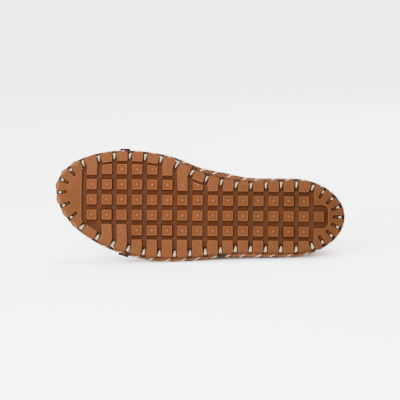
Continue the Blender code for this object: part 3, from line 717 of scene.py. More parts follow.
def pad_rim(start, end, slots, rounding, swell=0.0):
    """A pad's outer edge from notch to notch, dipping into each of its slots."""
    edge = [knee(start, 1)]
    here, opening = start, NOTCH_MOUTH
    for s in slots:
        edge += rim_run(here, s, opening, SLOT_MOUTH, rounding, swell) + slot_end(s)
        here, opening = s, SLOT_MOUTH
    return edge + rim_run(here, end, opening, NOTCH_MOUTH, rounding, swell) + [knee(end, -1)]


def toe_pad_outline():
    inner = SOLE_LENGTH - TOE_PAD_LENGTH
    edge = pad_rim(NOTCHES[LATERAL][0], NOTCHES[MEDIAL][0], NOTCHES["toe"], TOE_RIM_ROUND, TOE_SWELL)
    return edge + [(inner, y, EDGE_ROUND) for y in (edge[-1][1] - GROOVE / 2, edge[0][1] + GROOVE / 2)]


def pocket_path(inset):
    """The heel pocket's wall from one corner of the pad's inner edge to the other."""
    half = HEEL_POCKET_WIDTH / 2 - inset
    deep, turn = HEEL_PAD_LENGTH - HEEL_POCKET_LENGTH + inset, HEEL_POCKET_ROUND
    pocket = [(HEEL_PAD_LENGTH, -half)]
    for a in arc(pi / 2, 8):
        pocket.append((deep + turn * (1 - sin(a)), -half + turn * (1 - cos(a))))
    return pocket + [(x, -y) for x, y in reversed(pocket)]


def heel_pad_outline():
    """The heel's pad, open in the middle as a round-cornered pocket for one lug."""
    edge = pad_rim(NOTCHES[MEDIAL][-1], NOTCHES[LATERAL][-1] + RUBBER.length, NOTCHES["heel"], RIM_ROUND)
    first, last = ((HEEL_PAD_LENGTH, y) for y in (edge[-1][1] + GROOVE / 2, edge[0][1] - GROOVE / 2))
    return edge + [(x, y, EDGE_ROUND) for x, y in (first, *pocket_path(0.0), last)]


def filled(tree, node, inputs):
    """A node whose inputs are set, or linked where another node's output is given."""
    for name, value in inputs.items():
        if isinstance(value, bpy.types.NodeSocket):
            tree.links.new(value, node.inputs[name])
        else:
            node.inputs[name].default_value = value
    return node


def add_node(tree, kind, inputs):
    return filled(tree, tree.nodes.new("ShaderNode" + kind), inputs)


def new_material(name):
    material = bpy.data.materials.new(name)
    material.use_nodes = True
    return material, material.node_tree, material.node_tree.nodes["Principled BSDF"]


def coordinates(tree):
    return tree.nodes.new("ShaderNodeTexCoord").outputs["Object"]


def noise(tree, scale, detail, stretch=None):
    """A noise texture in the frame's metres, stretched along some axis if asked."""
    place = coordinates(tree)
    if stretch:
        place = add_node(tree, "Mapping", {"Vector": place, "Scale": stretch}).outputs["Vector"]
    return add_node(tree, "TexNoise", {"Vector": place, "Scale": scale, "Detail": detail}).outputs["Fac"]


def blended(tree, factor, first, second, low=0.35, high=0.65):
    """A colour between two, by a factor spread over low to high."""
    ramp = add_node(tree, "ValToRGB", {"Fac": factor})
    for stop, place, colour in zip(ramp.color_ramp.elements, (low, high), (first, second)):
        stop.position = place
        stop.color = (*colour, 1)
    return ramp.outputs["Color"]


def multiplied(tree, colour, by, factor):
    """A colour multiplied by another as far as the factor says."""
    mixed = tree.nodes.new("ShaderNodeMix")
    mixed.data_type = "RGBA"
    mixed.blend_type = "MULTIPLY"
    return filled(tree, mixed, {"Factor": factor, 6: colour, 7: by}).outputs[2]


def bumped(tree, sources):
    """A normal bent by pairs of height output and depth in millionths of a metre, one over another."""
    normal = {}
    for height, depth in sources:
        bent = add_node(tree, "Bump", {"Strength": 1.0, "Distance": depth * 1e-6, "Height": height, **normal})
        normal = {"Normal": bent.outputs["Normal"]}
    return normal["Normal"]


def shaded(colour, by):
    return tuple(min(1.0, c * by) for c in colour)


def darkened_to_heel(tree, colour):
    """A colour with painted shade that deepens from the shoe's middle to its heel."""
    x = add_node(tree, "SeparateXYZ", {"Vector": coordinates(tree)}).outputs["X"]
    spread = add_node(tree, "MapRange", {"Value": x, "From Min": HEEL_SHADE_FROM, "From Max": HEEL_SHADE_TO})
    return multiplied(tree, colour, HEEL_SHADE_PAINTED, spread.outputs["Result"])


def gum(name, colour, grain=1.0, roughness=0.66, streak=None, heel_shade=True):
    """Moulded gum rubber: a faint cloudiness and a fine matt grain, drawn out into streaks if asked."""
    material, tree, shader = new_material(name)
    mottle = noise(tree, 620, 3, streak)
    cloud, dark, pale = (mottle, 0.86, 1.13) if streak else (noise(tree, 45, 4), 0.93, 1.06)
    plain = blended(tree, cloud, shaded(colour, dark), shaded(colour, pale))
    heights = [(noise(tree, 2600, 2), 50 * grain), (mottle, 80 * grain)]
    # Painted shade darkens the colour towards the heel where asked
    looks = {"Base Color": darkened_to_heel(tree, plain) if heel_shade else plain, "Normal": bumped(tree, heights)}
    filled(tree, shader, {**looks, "Roughness": roughness, "Specular IOR Level": 0.16})
    return material


def braid_lines(tree, spacing):
    """White with dark slanting lines of painted shade, as between a braid's strands."""
    scale = {"Vector": coordinates(tree), "Scale": 0.62 / spacing, "Distortion": 1.4, "Detail": 1.0}
    wave = add_node(tree, "TexWave", scale)
    wave.bands_direction = "DIAGONAL"
    return blended(tree, wave.outputs["Fac"], (0.20, 0.18, 0.16), (1, 1, 1), 0.12, 0.55)


def leather(name, colour, dark=0.78, pore=1.0, roughness=0.48, coat=0.08, gloss=0.5, braid=None):
    """Smooth cowhide: pores and fine wrinkles, a cloudy tone darker in patches, and braided if asked."""
    material, tree, shader = new_material(name)
    plain = blended(tree, noise(tree, 28, 5), shaded(colour, dark), shaded(colour, 1.08))
    cells = add_node(tree, "TexVoronoi", {"Vector": coordinates(tree), "Scale": 950})
    cells.feature = "DISTANCE_TO_EDGE"
    heights = [(cells.outputs["Distance"], 90), (noise(tree, 1500, 3), 60), (noise(tree, 160, 4), 200)]
    looks = {
        "Base Color": multiplied(tree, plain, braid_lines(tree, braid), 1.0) if braid else plain,
        "Normal": bumped(tree, [(height, depth * pore) for height, depth in heights]),
        "Roughness": roughness,
        "Specular IOR Level": gloss,
        "Coat Weight": coat,
        "Coat Roughness": 0.35,
    }
    filled(tree, shader, looks)
    return material


def waxed_cord(name, colour):
    """White cotton cord: fine fibres along it, and soft."""
    material, tree, shader = new_material(name)
    fibre = noise(tree, 2400, 2)
    looks = {"Base Color": blended(tree, fibre, shaded(colour, 0.80), colour), "Roughness": 0.75}
    sheen = {"Sheen Weight": 0.25, "Sheen Roughness": 0.5}
    filled(tree, shader, {**looks, **sheen, "Normal": bumped(tree, [(fibre, 120)])})
    return material


# gum_border and gum_rim are paler, as painted highlight on raised edges and the toe's rounded rim. gum_floor,
# gum_deep and gum_dark get darker in turn as painted shade deeper in the tread: its floor, then troughs,
# tight walls and slot floors, then holes and moats
SOLE_MATERIALS = [
    gum("gum_square", (0.180, 0.052, 0.0135)),
    gum("gum_border", (0.236, 0.076, 0.0195)),
    gum("gum_tab", (0.205, 0.068, 0.0220), 3.0, 0.72, (1.6, 1.0, 0.35)),
    gum("gum_pad", (0.172, 0.057, 0.0165), 1.0, 0.72),
    gum("gum_floor", (0.096, 0.031, 0.0105), 1.2, 0.74, heel_shade=False),
    gum("gum_deep", (0.092, 0.026, 0.0082), 1.0, 0.78, heel_shade=False),
    gum("gum_dot", (0.33, 0.130, 0.046)),
    gum("gum_dark", (0.085, 0.024, 0.0080), 1.0, 0.80),
    gum("gum_rim", (0.285, 0.110, 0.042), 1.4, 0.70),
]
SQUARE, BORDER, TAB, PAD, FLOOR, DEEP, DOT, DARK, RIM = range(len(SOLE_MATERIALS))
UPPER_LEATHER = leather("tan_leather", (0.235, 0.081, 0.027), gloss=0.35)
STRIP_LEATHER = leather("strip_leather", (0.212, 0.070, 0.023), 0.68, gloss=0.35)
RAND_LEATHER = leather("rand_leather", (0.320, 0.113, 0.041), 0.70, 1.2, 0.70, 0.0, 0.2)
RAND_BRAID = leather("rand_braid", (0.310, 0.108, 0.039), 0.70, 1.2, 0.70, 0.0, 0.2, braid=0.0040)
# dark_leather is painted shade on the rand's underside, and the straps' dark edges
DARK_LEATHER = leather("dark_leather", (0.050, 0.017, 0.008), 0.8, 1.0, 0.70, 0.0)
LINING_LEATHER = leather("lining_leather", (0.30, 0.155, 0.070), 0.88, 0.7, 0.7, 0.0)
SOCK_LEATHER = leather("sock_leather", (0.26, 0.12, 0.052), 0.85, 0.8, 0.6, 0.0)
CORD = waxed_cord("white_cord", (0.84, 0.73, 0.56))


def prisms(name, low, outlines):
    """One object of closed upright prisms, each from a plan outline and how high it stands."""
    bm = bmesh.new()
    for outline, high in outlines:
        feet, tops = ([bm.verts.new((x, y, z)) for x, y in outline] for z in (low, high))
        bm.faces.new(feet)
        bm.faces.new(tops)
        for k in range(len(feet)):
            ahead = (k + 1) % len(feet)
            bm.faces.new((feet[k], feet[ahead], tops[ahead], tops[k]))
    bmesh.ops.recalc_face_normals(bm, faces=bm.faces)
    mesh = bpy.data.meshes.new(name)
    bm.to_mesh(mesh)
    bm.free()
    return linked(name, mesh)


def plate_cuts():
    """Prisms cut from the sole's plate: stitch holes, troughs between the rows and moats round a few lugs."""
    trough_top, moat_width = TREAD_DEPTH + ROW_TROUGH, LUG_WIDTH + 2 * MOAT
    cuts, troughs = [], set()
    for s in STITCHES:
        inset, wide = hole_size(s)
        for box in ((inset, wide, HOLE_ACROSS), (0.0, SLOT_WIDTH * 1.1, RIM_CUT * 2)):
            cuts.append((rim_box(s, *box), SOLE_TOP * 1.5))
    for column, row, _ in lugs():
        x = column_centre(column)
        if (column, row) in MOATED:
            cuts.append((rectangle(x, row * ROW_PITCH, moat_width, moat_width), TREAD_DEPTH + MOAT_DEPTH))
        for between in (row + 0.5, row - 0.5):
            if (column, between) not in troughs:
                trough = rectangle(x, between * ROW_PITCH, LUG_LENGTH * 0.97, TROUGH_WIDTH)
                cuts.append((trough, trough_top))
                troughs.add((column, between))
    return cuts + [(pocket_path(GROOVE * 0.06), trough_top)]


def plate_slot(height):
    """The slot of a face of the plate, by how deep it lies over the lugs' feet: the deeper, the darker its
    painted shade.
    """
    if height < ROW_TROUGH * 0.1:
        return FLOOR
    if height < ROW_TROUGH * 1.1:
        return DEEP
    return DARK if height < BASE_THICKNESS * 0.98 else TAB


def make_sole_plate():
    """The sole's plate with its cuts, lifted with the toe."""
    rim = RUBBER.grown(-RIM_INSET).resampled(PLATE_POINTS)
    plate = prisms("sole_block", TREAD_DEPTH, [(rim.points, SOLE_TOP)])
    cutter = prisms("sole_cuts", 0, plate_cuts())
    modifier = plate.modifiers.new("cuts", "BOOLEAN")
    modifier.operation = "DIFFERENCE"
    modifier.object = cutter
    modifier.solver = "EXACT"
    modifier.use_self = True
    mesh = bpy.data.meshes.new_from_object(plate.evaluated_get(bpy.context.evaluated_depsgraph_get()))
    bpy.data.objects.remove(plate)
    bpy.data.objects.remove(cutter)
    shape = Shape()
    shape.ring([v.co for v in mesh.vertices])
    for polygon in mesh.polygons:
        shape.face(polygon.vertices[:], plate_slot(polygon.center.z - TREAD_DEPTH))
    return shape.made("sole_plate", SOLE_MATERIALS, SPRING_PLACES, lifted=True)


def add_dot(shape, x, y, foot):
    """A small dome at a lug's middle."""
    rings = []
    for share, rise in DOME:
        radius = DOT_RADIUS * share
        plan = oval(np.array([x, y]), np.array([radius, 0]), np.array([0, radius]), 12)
        rings.append(at_height(plan, foot - LUG_SINK * 0.9 * rise))
    shape.skin(rings, DOT, end=DOT)


def add_lug(shape, outline, x, y, dotted):
    """A lug with a raised border, a sunken ring and a lower heart with a dot. Its border is painted paler as
    highlight, and the foot of its wall takes the floor's painted shade.
    """
    heart = LUG_SINK * 0.55
    levels = [
        (-LUG_DRAFT, TREAD_DEPTH + ROW_TROUGH, FLOOR),
        (-LUG_DRAFT * 0.3, ROW_TROUGH, FLOOR),
        (0.0, LUG_STEP, SQUARE),
        (0.00030, 0.0, BORDER),
        (LUG_BORDER, 0.0, BORDER),
        (LUG_BORDER + LUG_STEP, LUG_SINK, SQUARE),
        (LUG_HEART - LUG_STEP, LUG_SINK, SQUARE),
    ]
    if dotted:
        levels.append((LUG_HEART, heart, SQUARE))
        add_dot(shape, x, y, heart)
    stepped_block(shape, outline, levels)


def make_tread():
    """Lugs, tabs and pads in one mesh, lifted with the toe."""
    shape = Shape()
    for column, row, outline in lugs():
        add_lug(shape, outline, column_centre(column), row * ROW_PITCH, (column, row) not in DOTLESS)
    heel_lug = HEEL_PAD_LENGTH - LUG_LENGTH / 2
    add_lug(shape, rectangle(heel_lug, 0, LUG_LENGTH, LUG_WIDTH), heel_lug, 0, False)
    # The heel lug's low ribs are painted paler, as highlight
    for k in range(HEEL_RIBS):
        rib = rectangle(heel_lug, (k - (HEEL_RIBS - 1) / 2) * HEEL_RIB_PITCH, HEEL_RIB_LENGTH, HEEL_RIB_WIDTH)
        stepped_block(shape, rib, [(0, LUG_SINK, BORDER), (0.0001, LUG_SINK * 0.4, BORDER)], 0.0001)
    for side in SIDES:
        for column in range(LUG_COLUMNS):
            soft_block(shape, tab_outline(column, side), TAB, TAB)
    soft_block(shape, toe_pad_outline(), RIM, PAD)
    soft_block(shape, heel_pad_outline(), TAB, PAD)
    for column, side in DOTTED_TABS:
        add_dot(shape, column_centre(column), side * (LUG_ROWS[side][column] + 1) * ROW_PITCH, 0.0)
    return shape.made("sole_tread", SOLE_MATERIALS, SPRING_PLACES, lifted=True)


def make_notch_ribs():
    """The low bar across each notch and slot, on the inner side of its hole, painted dark as shade in a
    notch, and a thin sheet of painted shade on each slot's floor.
    """
    shape = Shape()
    foot = TREAD_DEPTH + 0.0003
    for s in STITCHES:
        slotted = s in SLOTS
        width, height = (SLOT_WIDTH, SLOT_RIB_HEIGHT) if slotted else (NOTCH_WIDTH, RIB_HEIGHT)
        bar = TAB if slotted else DEEP
        hole_end = hole_size(s)[0] + HOLE_ACROSS / 2
        top = TREAD_DEPTH - height
        levels = [(0, foot, bar), (0, top + 0.0002, bar), (0.0002, top, bar)]
        stepped_block(shape, rim_box(s, hole_end + RIB_THICKNESS * 0.6, width * 1.06, RIB_THICKNESS), levels)
        if slotted:
            half = SLOT_WIDTH * 0.53
            start, reach = hole_end + RIB_THICKNESS * 1.1, SLOT_DEPTH + SLOT_SHADE_SHEET * 4 - half
            floor = [near_rim(s, way * half, -start) for way in (-1, 1)]
            floor += [near_rim(s, half * cos(a), -reach - half * sin(a)) for a in arc(pi, 6)]
            stepped_block(shape, floor, [(0, foot, DEEP), (0, TREAD_DEPTH - SLOT_SHADE_SHEET, DEEP)], 0.00002)
    return shape.made("notch_ribs", SOLE_MATERIALS, lifted=True)


def lengths_along(points):
    return np.concatenate([[0], np.cumsum(np.linalg.norm(np.diff(points, axis=0), axis=1))])


def smooth_line(rows, count):
    """A curve through rows of numbers, of which x, y and z come first, read at even steps."""
    rows = np.asarray(rows, float)
    at = lengths_along(rows[:, :3])
    wanted = np.linspace(0, at[-1], count)
    return np.stack([spline(at, column, wanted) for column in rows.T], axis=1), wanted


def stitch_rows(s, index):
    """Key points of one stitch with its outward face and width, each stitch a little different."""
    rows = []
    slotted = s in SLOTS
    wander = STITCH_WANDER * sin(2.4 * index)
    on_medial_side = RUBBER.read(RUBBER.out, s)[1] > 0.3
    thin = SLOT_CORD if slotted else MEDIAL_CORD if on_medial_side else 1.0
    for start, slant, outwards, up, face_out, face_up, width in zip(*STITCH_KEYS.values()):
        here = s + (slant + wander * bump(slant)) * STITCH_SLANT
        past = outwards * MM
        if start == "hole":
            past -= hole_size(s)[0] - HOLE_ACROSS * 0.3
        elif start == "rand":
            reach = RUBBER.read(OUT_BY, here)
            past = reach + past * min(max(reach / RAND_THICKNESS, 1.0), MARK_SPREAD)
        elif slotted:
            past -= SLOT_DIVE * MM
        place = near_rim(here, outwards=past)
        face = unit(np.array([*RUBBER.read(RUBBER.out, here) * face_out, face_up]))
        wide = width * (1.0 if start == "rand" else thin) * (1 + wander)
        rows.append((*place, up * MM + spring(place[0]), *face, wide))
    return rows


def make_stitches():
    """The white cord: 44 slanted whip stitches, each of three plies laid side by side and twisted."""
    shape = Shape()
    for index, s in enumerate(STITCHES):
        line, along = smooth_line(stitch_rows(s, index), CORD_STATIONS)
        middle, width = line[:, :3], line[:, 6]
        tangent = unit(np.gradient(middle, axis=0))
        face = unit(line[:, 3:6] - tangent * np.sum(line[:, 3:6] * tangent, axis=1)[:, None])
        across = np.cross(tangent, face)
        wide = across * (PLY_RADIUS * PLY_LEAST * (1 + width))[:, None]
        thick = face * (PLY_RADIUS * (PLY_LEAST + PLY_SWELL * width))[:, None]
        for ply in range(PLIES):
            phase = 2 * pi * (ply / PLIES + along / TWIST_LENGTH) + index
            centre = middle + across * (PLY_SPREAD * width * np.cos(phase))[:, None]
            centre = centre + face * (PLY_RADIUS * PLY_RISE * np.sin(phase))[:, None]
            shape.skin([oval(*axes, CORD_SIDES) for axes in zip(centre, wide, thick)], start=0, end=0)
    return shape.made("white_cord_stitches", [CORD])


def from_stitch(s, lean=0.0):
    """Distance along the rim to the nearest stitch, or to a place a little past each."""
    half = RUBBER.length / 2
    return min(abs((s - place - lean + half) % RUBBER.length - half) for place in STITCHES)


def flanged(profile, reach):
    """The rand's section with its foot turned in under the upper as far as the rubber's rim."""
    moved = []
    for inwards, up in profile:
        if inwards > RAND_THICKNESS * 0.6 and up < FLANGE_HEIGHT:
            past, up = [step[1:] for step in FLANGE if up >= step[0]][-1]
            inwards = max(inwards, reach + past)
        moved.append((inwards, up))
    return moved


def rand_shade(s, x, outwards):
    """How far past the rubber's rim the rand's underside is painted dark as shade, at an x on one side."""
    reach = NOTCH_SHADE if from_stitch(s) < NOTCH_SHADE_REACH else RAND_SHADE
    for place, width, deep in STRAP_SHADES[MEDIAL if outwards > 0 else LATERAL]:
        if abs(x / SOLE_LENGTH - place) < width:
            reach = max(reach, deep * MM)
    return reach


def rand_profile():
    """The rand's section as a soft rectangle: inwards from its face, and up."""
    corners = []
    for a in arc(2 * pi, RAND_SIDES)[:-1]:
        soft = [(1 + copysign(abs(v) ** 0.55, v)) / 2 for v in (-cos(a), sin(a))]
        corners.append((RAND_THICKNESS * soft[0], RAND_HEIGHT * soft[1]))
    return corners


def make_rand():
    """The leather strip on edge, pinched under each stitch, painted dark as shade underneath where the sole
    covers it.
    """
    shape = Shape()
    profile, rings, bands = rand_profile(), [], []
    for s in np.linspace(0, RUBBER.length, RAND_STATIONS, endpoint=False):
        rim, out, reach = (RUBBER.read(values, s) for values in (RUBBER.points, RUBBER.out, OUT_BY))
        shade = rand_shade(s, rim[0], out[1])
        ring, covered = [], []
        for inwards, up in flanged(profile, reach):
            from_mark = from_stitch(s, STITCH_SLANT * (MARK_START + MARK_LEAN * up / RAND_HEIGHT))
            pinch = STITCH_PRESS * max(0.0, 1 - inwards / RAND_THICKNESS) * hill(from_mark, 0, STITCH_GROOVE)
            place = rim + out * (reach - inwards - pinch)
            ring.append((*place, FOOT_Z + up + spring(place[0])))
            covered.append(up < RAND_HEIGHT * 0.2 and reach - inwards < shade)
        plain = 2 if out[1] > 0 and BRAIDED[0] < rim[0] / SOLE_LENGTH < BRAIDED[1] else 0
        rings.append(ring)
        bands.append(tuple(1 if all(pair) else plain for pair in zip(covered, covered[1:] + covered[:1])))
    shape.skin(rings, bands[1:] + bands[-1:])
    return shape.made("rand_strip", [RAND_LEATHER, DARK_LEATHER, RAND_BRAID])


def crest(column, x):
    """A column of the crest's table, read at x."""
    reach = THROAT - FOOT_HEEL if x < THROAT else FOOT_TOE - THROAT
    return spline(CREST["place"], CREST[column], (x - THROAT) / reach)


def section(x, side):
    """One side of the last at x, from the rand's foot up to the ridge, as points close together."""
    foot_y, other_y = (np.interp(x, *UPPER_EDGE[which]) for which in (side, -side))
    toe_end = rounded_end(FOOT_TOE - x, TOE_CAP_LENGTH, 2.0)
    height = TOE_WALL_HEIGHT + (INSTEP_HEIGHT * crest("height", x) - TOE_WALL_HEIGHT) * toe_end
    power = 2 / crest("fullness", x)
    ridge = (foot_y + other_y) / 2 + RIDGE_SHIFT * crest("ridge", x)
    angle = np.linspace(0, pi / 2, SECTION_POINTS)
    y = ridge + (foot_y - ridge) * np.clip(np.cos(angle), 0, 1) ** power
    z = height * np.sin(angle) ** power
    over_rand = z - RAND_HEIGHT
    ends = rounded_end(x - FOOT_HEEL, BULGE_FADE_HEEL, 2.0) * rounded_end(FOOT_TOE - x, BULGE_FADE_TOE, 2.0)
    y = y + side * SIDE_BULGE * bump(over_rand / (min(height, HEEL_HEIGHT) - RAND_HEIGHT)) * ends
    heel = np.clip(1 - (x - FOOT_HEEL) / HEEL_ROUND_LENGTH, 0, 1) ** 1.5
    toe = np.clip(1 - (FOOT_TOE - x) / HEEL_ROUND_LENGTH, 0, 1) ** 1.5
    lean = heel * (HEEL_LEAN * (z / HEEL_HEIGHT) ** 2 - HEEL_BULGE * bump(over_rand / HEEL_HEIGHT))
    lean = lean - toe * TOE_LEAN * (z / TOE_WALL_HEIGHT / 2) ** 1.5
    return np.stack([x + lean, y, FOOT_Z + spring(x) + z], axis=1)


def spaced(points, count):
    """The same line with its points spaced evenly."""
    at = lengths_along(points)
    wanted = np.linspace(0, at[-1], count)
    return np.stack([np.interp(wanted, at, column) for column in points.T], axis=1)


class Skin:
    """The last's skin: at an x, from the little toe's side (-1) over the ridge (0) to the other side (1)."""

    def __init__(self):
        turn = np.linspace(0, pi, SKIN_STATIONS)
        self.x = FOOT_HEEL + (FOOT_TOE - FOOT_HEEL) * (1 - np.cos(turn)) / 2
        rows = []
        for x in self.x:
            lateral, medial = (spaced(section(x, side), SKIN_ROWS + 1) for side in (LATERAL, MEDIAL))
            rows.append(np.concatenate([lateral, medial[-2::-1]]))
        self.grid = np.array(rows)
        self.turn = np.linspace(-1, 1, 2 * SKIN_ROWS + 1)
        out = np.cross(np.gradient(self.grid, axis=1), np.gradient(self.grid, axis=0))
        self.out = out / np.maximum(np.linalg.norm(out, axis=2, keepdims=True), 1e-12)
        if self.out[SKIN_STATIONS // 2, SKIN_ROWS, 2] < 0:
            self.out = -self.out

    def read(self, values, x, t):
        i = np.clip(np.interp(x, self.x, np.arange(len(self.x))), 0, len(self.x) - 1.001)
        j = np.clip(np.interp(t, self.turn, np.arange(len(self.turn))), 0, len(self.turn) - 1.001)
        i0, j0 = i.astype(int), j.astype(int)
        fi, fj = (i - i0)[..., None], (j - j0)[..., None]
        near = values[i0, j0] * (1 - fj) + values[i0, j0 + 1] * fj
        far = values[i0 + 1, j0] * (1 - fj) + values[i0 + 1, j0 + 1] * fj
        return near * (1 - fi) + far * fi

    def at(self, x, t, lift=0.0):
        x, t = np.broadcast_arrays(np.asarray(x, float), np.asarray(t, float))
        return self.read(self.grid, x, t) + self.read(self.out, x, t) * np.asarray(lift)[..., None]


SKIN = Skin()


def share_at_height(x, side, height):
    """The share of the way round from foot to ridge at which the skin is a height over the rand's foot."""
    line = section(x, side)
    at = lengths_along(line)
    return np.interp(height, line[:, 2] - line[0, 2], at) / at[-1]


def collar_share(x, side):
    """The share of the way round from foot to ridge at which the collar cuts the skin."""
    if x >= THROAT:
        return 1.0
    way = (x - FOOT_HEEL) / (THROAT - FOOT_HEEL)
    line = HEEL_HEIGHT + (INSTEP_HEIGHT - HEEL_HEIGHT) * way
    dip = COLLAR_DIP * spline(COLLAR["way"], COLLAR["dip"], way)
    drop = LATERAL_DROP * bump(way) if side == LATERAL else 0.0
    return share_at_height(x, side, line - dip - drop)


def collar_stations(count):
    """x of places from the heel to the throat, closer together at both."""
    return [FOOT_HEEL + (THROAT - FOOT_HEEL) * (1 - cos(a)) / 2 for a in arc(pi, count)]


def toe_strap_x(share):
    return THROAT + TOE_STRAP_FROM_THROAT + TOE_STRAP_BOW * np.sin(pi / 2 * share)


def instep_strap_x(share):
    return THROAT - INSTEP_STRAP_BEHIND_THROAT + INSTEP_STRAP_RISE * np.sin(pi / 2 * share)


def soft_step(value, low, high):
    t = np.clip((value - low) / (high - low), 0, 1)
    return t * t * (3 - 2 * t)


def wall_lift(x, t):
    """How the wall moves off the last: sunk under the weave, and creased on the quarters."""
    share = 1 - np.abs(t)
    edge = 0.002
    behind, ahead = instep_strap_x(share), toe_strap_x(share)
    inside = soft_step(x, behind - edge, behind + edge) * (1 - soft_step(x, ahead - edge, ahead + edge))
    lift = -BACKING_SINK * inside * soft_step(share, 0.10, 0.16)
    for place, height, length, depth, slope in CREASES:
        down = (share - height) * SIDE_LENGTH
        off = (x - place * THROAT) - slope * down
        swell = SWELL_SHARE * hill(off, SWELL_OFFSET, SWELL_WIDTH)
        lift = lift - depth * MM * (hill(off, 0, FOLD_WIDTH) - swell) * hill(down, 0, length * MM)
    return lift


def make_upper():
    """The wall of the upper with its lining, open at the collar and underneath."""
    ahead = [THROAT + (FOOT_TOE - THROAT) * sin(a) for a in arc(pi / 2, 60)]
    shape = Shape()
    for side in (LATERAL, MEDIAL):
        rows = []
        for x in collar_stations(60)[:-1] + ahead:
            t = side * (1 - np.linspace(0, collar_share(x, side), WALL_ROWS))
            rows.append(SKIN.at(x, t, wall_lift(x, t)))
        shape.sheet(rows)
    obj = shape.made("upper_wall", [UPPER_LEATHER, LINING_LEATHER], turned=False)
    bm = bmesh.new()
    bm.from_mesh(obj.data)
    bmesh.ops.remove_doubles(bm, verts=bm.verts, dist=0.00002)
    bmesh.ops.recalc_face_normals(bm, faces=bm.faces)
    bm.to_mesh(obj.data)
    bm.free()
    obj.data.shade_smooth()
    wall = obj.modifiers.new("wall", "SOLIDIFY")
    wall.thickness = WALL * WALL_SHARE
    wall.offset = -1
    wall.material_offset = 1
    wall.use_even_offset = True
    return obj


def rim_place(side, x):
    """Distance along the rubber's outline of a point on one side, by its x."""
    return np.interp(x, RUBBER.side_edge(side)[0], RUBBER.at[RUBBER.numbers(side)])


def tail_rings(side, centre_x, width):
    """Sections of a strap's end, down over the rand's face."""
    rings = []
    for outwards, up, face_out, face_up in TAIL_KEYS:
        ring = []
        for edge, lift in STRAP_PROFILE:
            s = rim_place(side, centre_x + edge * width / 2)
            thick = STRAP_THICKNESS * 0.9 * lift
            place = near_rim(s, outwards=RUBBER.read(OUT_BY, s) + outwards * MM + face_out * thick)
            ring.append((*place, FOOT_Z + up * MM + face_up * thick + spring(place[0])))
        rings.append(ring)
    return rings


def make_strap(name, centre_x, width, bow, tails):
    """A strap over the upper, bowed off it low down, whose ends stop at the rand or come down over it."""
    foot = share_at_height(centre_x(0), LATERAL, TAIL_START if tails else RAND_HEIGHT + 3 * CLEARANCE)
    half, rings = width / 2, []
    for t in np.linspace(foot - 1, 1 - foot, STRAP_STATIONS):
        share = 1 - abs(t)
        lift = CLEARANCE * 1.2 + bow * exp(-(((share - foot) / 0.16 - 0.25) ** 2) * 5)
        x = centre_x(share)
        rings.append([SKIN.at(x + edge * half, t, lift + STRAP_THICKNESS * up) for edge, up in STRAP_PROFILE])
    if tails:
        x = centre_x(foot)
        rings = tail_rings(LATERAL, x, width)[::-1] + rings + tail_rings(MEDIAL, x, width)
    shape = Shape()
    shape.skin(rings, STRAP_SLOTS, start=1, end=1)
    return shape.made(name, [STRIP_LEATHER, DARK_LEATHER])


def weave_point(v, t, lift):
    """A point of the weave: v from the instep strap (0) to the toe strap (1), t round the last."""
    start, end = (strap_x(1 - np.abs(t)) for strap_x in (instep_strap_x, toe_strap_x))
    return SKIN.at(start + v * (end - start), t, lift)


def strip_lifts(index, crossing):
    """Heights of a strip's section over the last, over and under at each crossing."""
    wave = STRIP_WAVE * (1 if index % 2 else -1) * cos(pi * crossing)
    return [(edge, STRIP_RAISE + wave + STRIP_THICKNESS * up) for edge, up in STRIP_PROFILE]


def make_weave():
    """The woven vamp between the straps: tapered strips across, and strips along, over and under."""
    shape = Shape()
    reach = 1 - WEAVE_FOOT
    for i in range(CROSS_STRIPS):
        centre, half = (i + 0.5) / CROSS_STRIPS, STRIP_FILL / 2 / CROSS_STRIPS
        rings = []
        for t in np.linspace(-reach, reach, LONG_STRIPS * CROSS_STEPS):
            lifts = strip_lifts(i, (t + reach) / (2 * reach) * LONG_STRIPS - 0.5)
            rings.append([weave_point(centre + edge * half, t, lift) for edge, lift in lifts])
        shape.skin(rings, start=0, end=0)
    for j in range(LONG_STRIPS):
        centre, half = -reach + 2 * reach * (j + 0.5) / LONG_STRIPS, STRIP_FILL * reach / LONG_STRIPS
        rings = []
        for v in np.linspace(-STRIP_OVERRUN, 1 + STRIP_OVERRUN, CROSS_STRIPS * LONG_STEPS):
            lifts = strip_lifts(j + 1, v * CROSS_STRIPS - 0.5)
            rings.append([weave_point(v, centre + edge * half, lift) for edge, lift in lifts])
        shape.skin(rings, start=0, end=0)
    return shape.made("woven_vamp", [STRIP_LEATHER])


def collar_path(lift):
    """The collar's edge, from the heel along the outer side to the throat and back."""
    sides = []
    for side in (LATERAL, MEDIAL):
        sides.append([SKIN.at(x, side * (1 - collar_share(x, side)), lift) for x in collar_stations(70)])
    return np.array(sides[0] + sides[1][-2:0:-1])


def make_binding():
    """A rolled leather binding round the collar."""
    outer, inner = collar_path(0.0), collar_path(-WALL * WALL_SHARE)
    middle = (outer + inner) / 2
    off = unit(outer - inner)
    down = unit(np.cross(np.roll(middle, -1, axis=0) - np.roll(middle, 1, axis=0), off))
    if np.mean(down[:, 2]) > 0:
        down = -down
    centres = middle + down * BINDING_DROP - off * BINDING_INSET
    halves = off * BINDING_THICKNESS / 2, down * BINDING_HEIGHT / 2
    shape = Shape()
    shape.skin([oval(*axes, 12) for axes in zip(centres, *halves)])
    return shape.made("collar_binding", [STRIP_LEATHER])


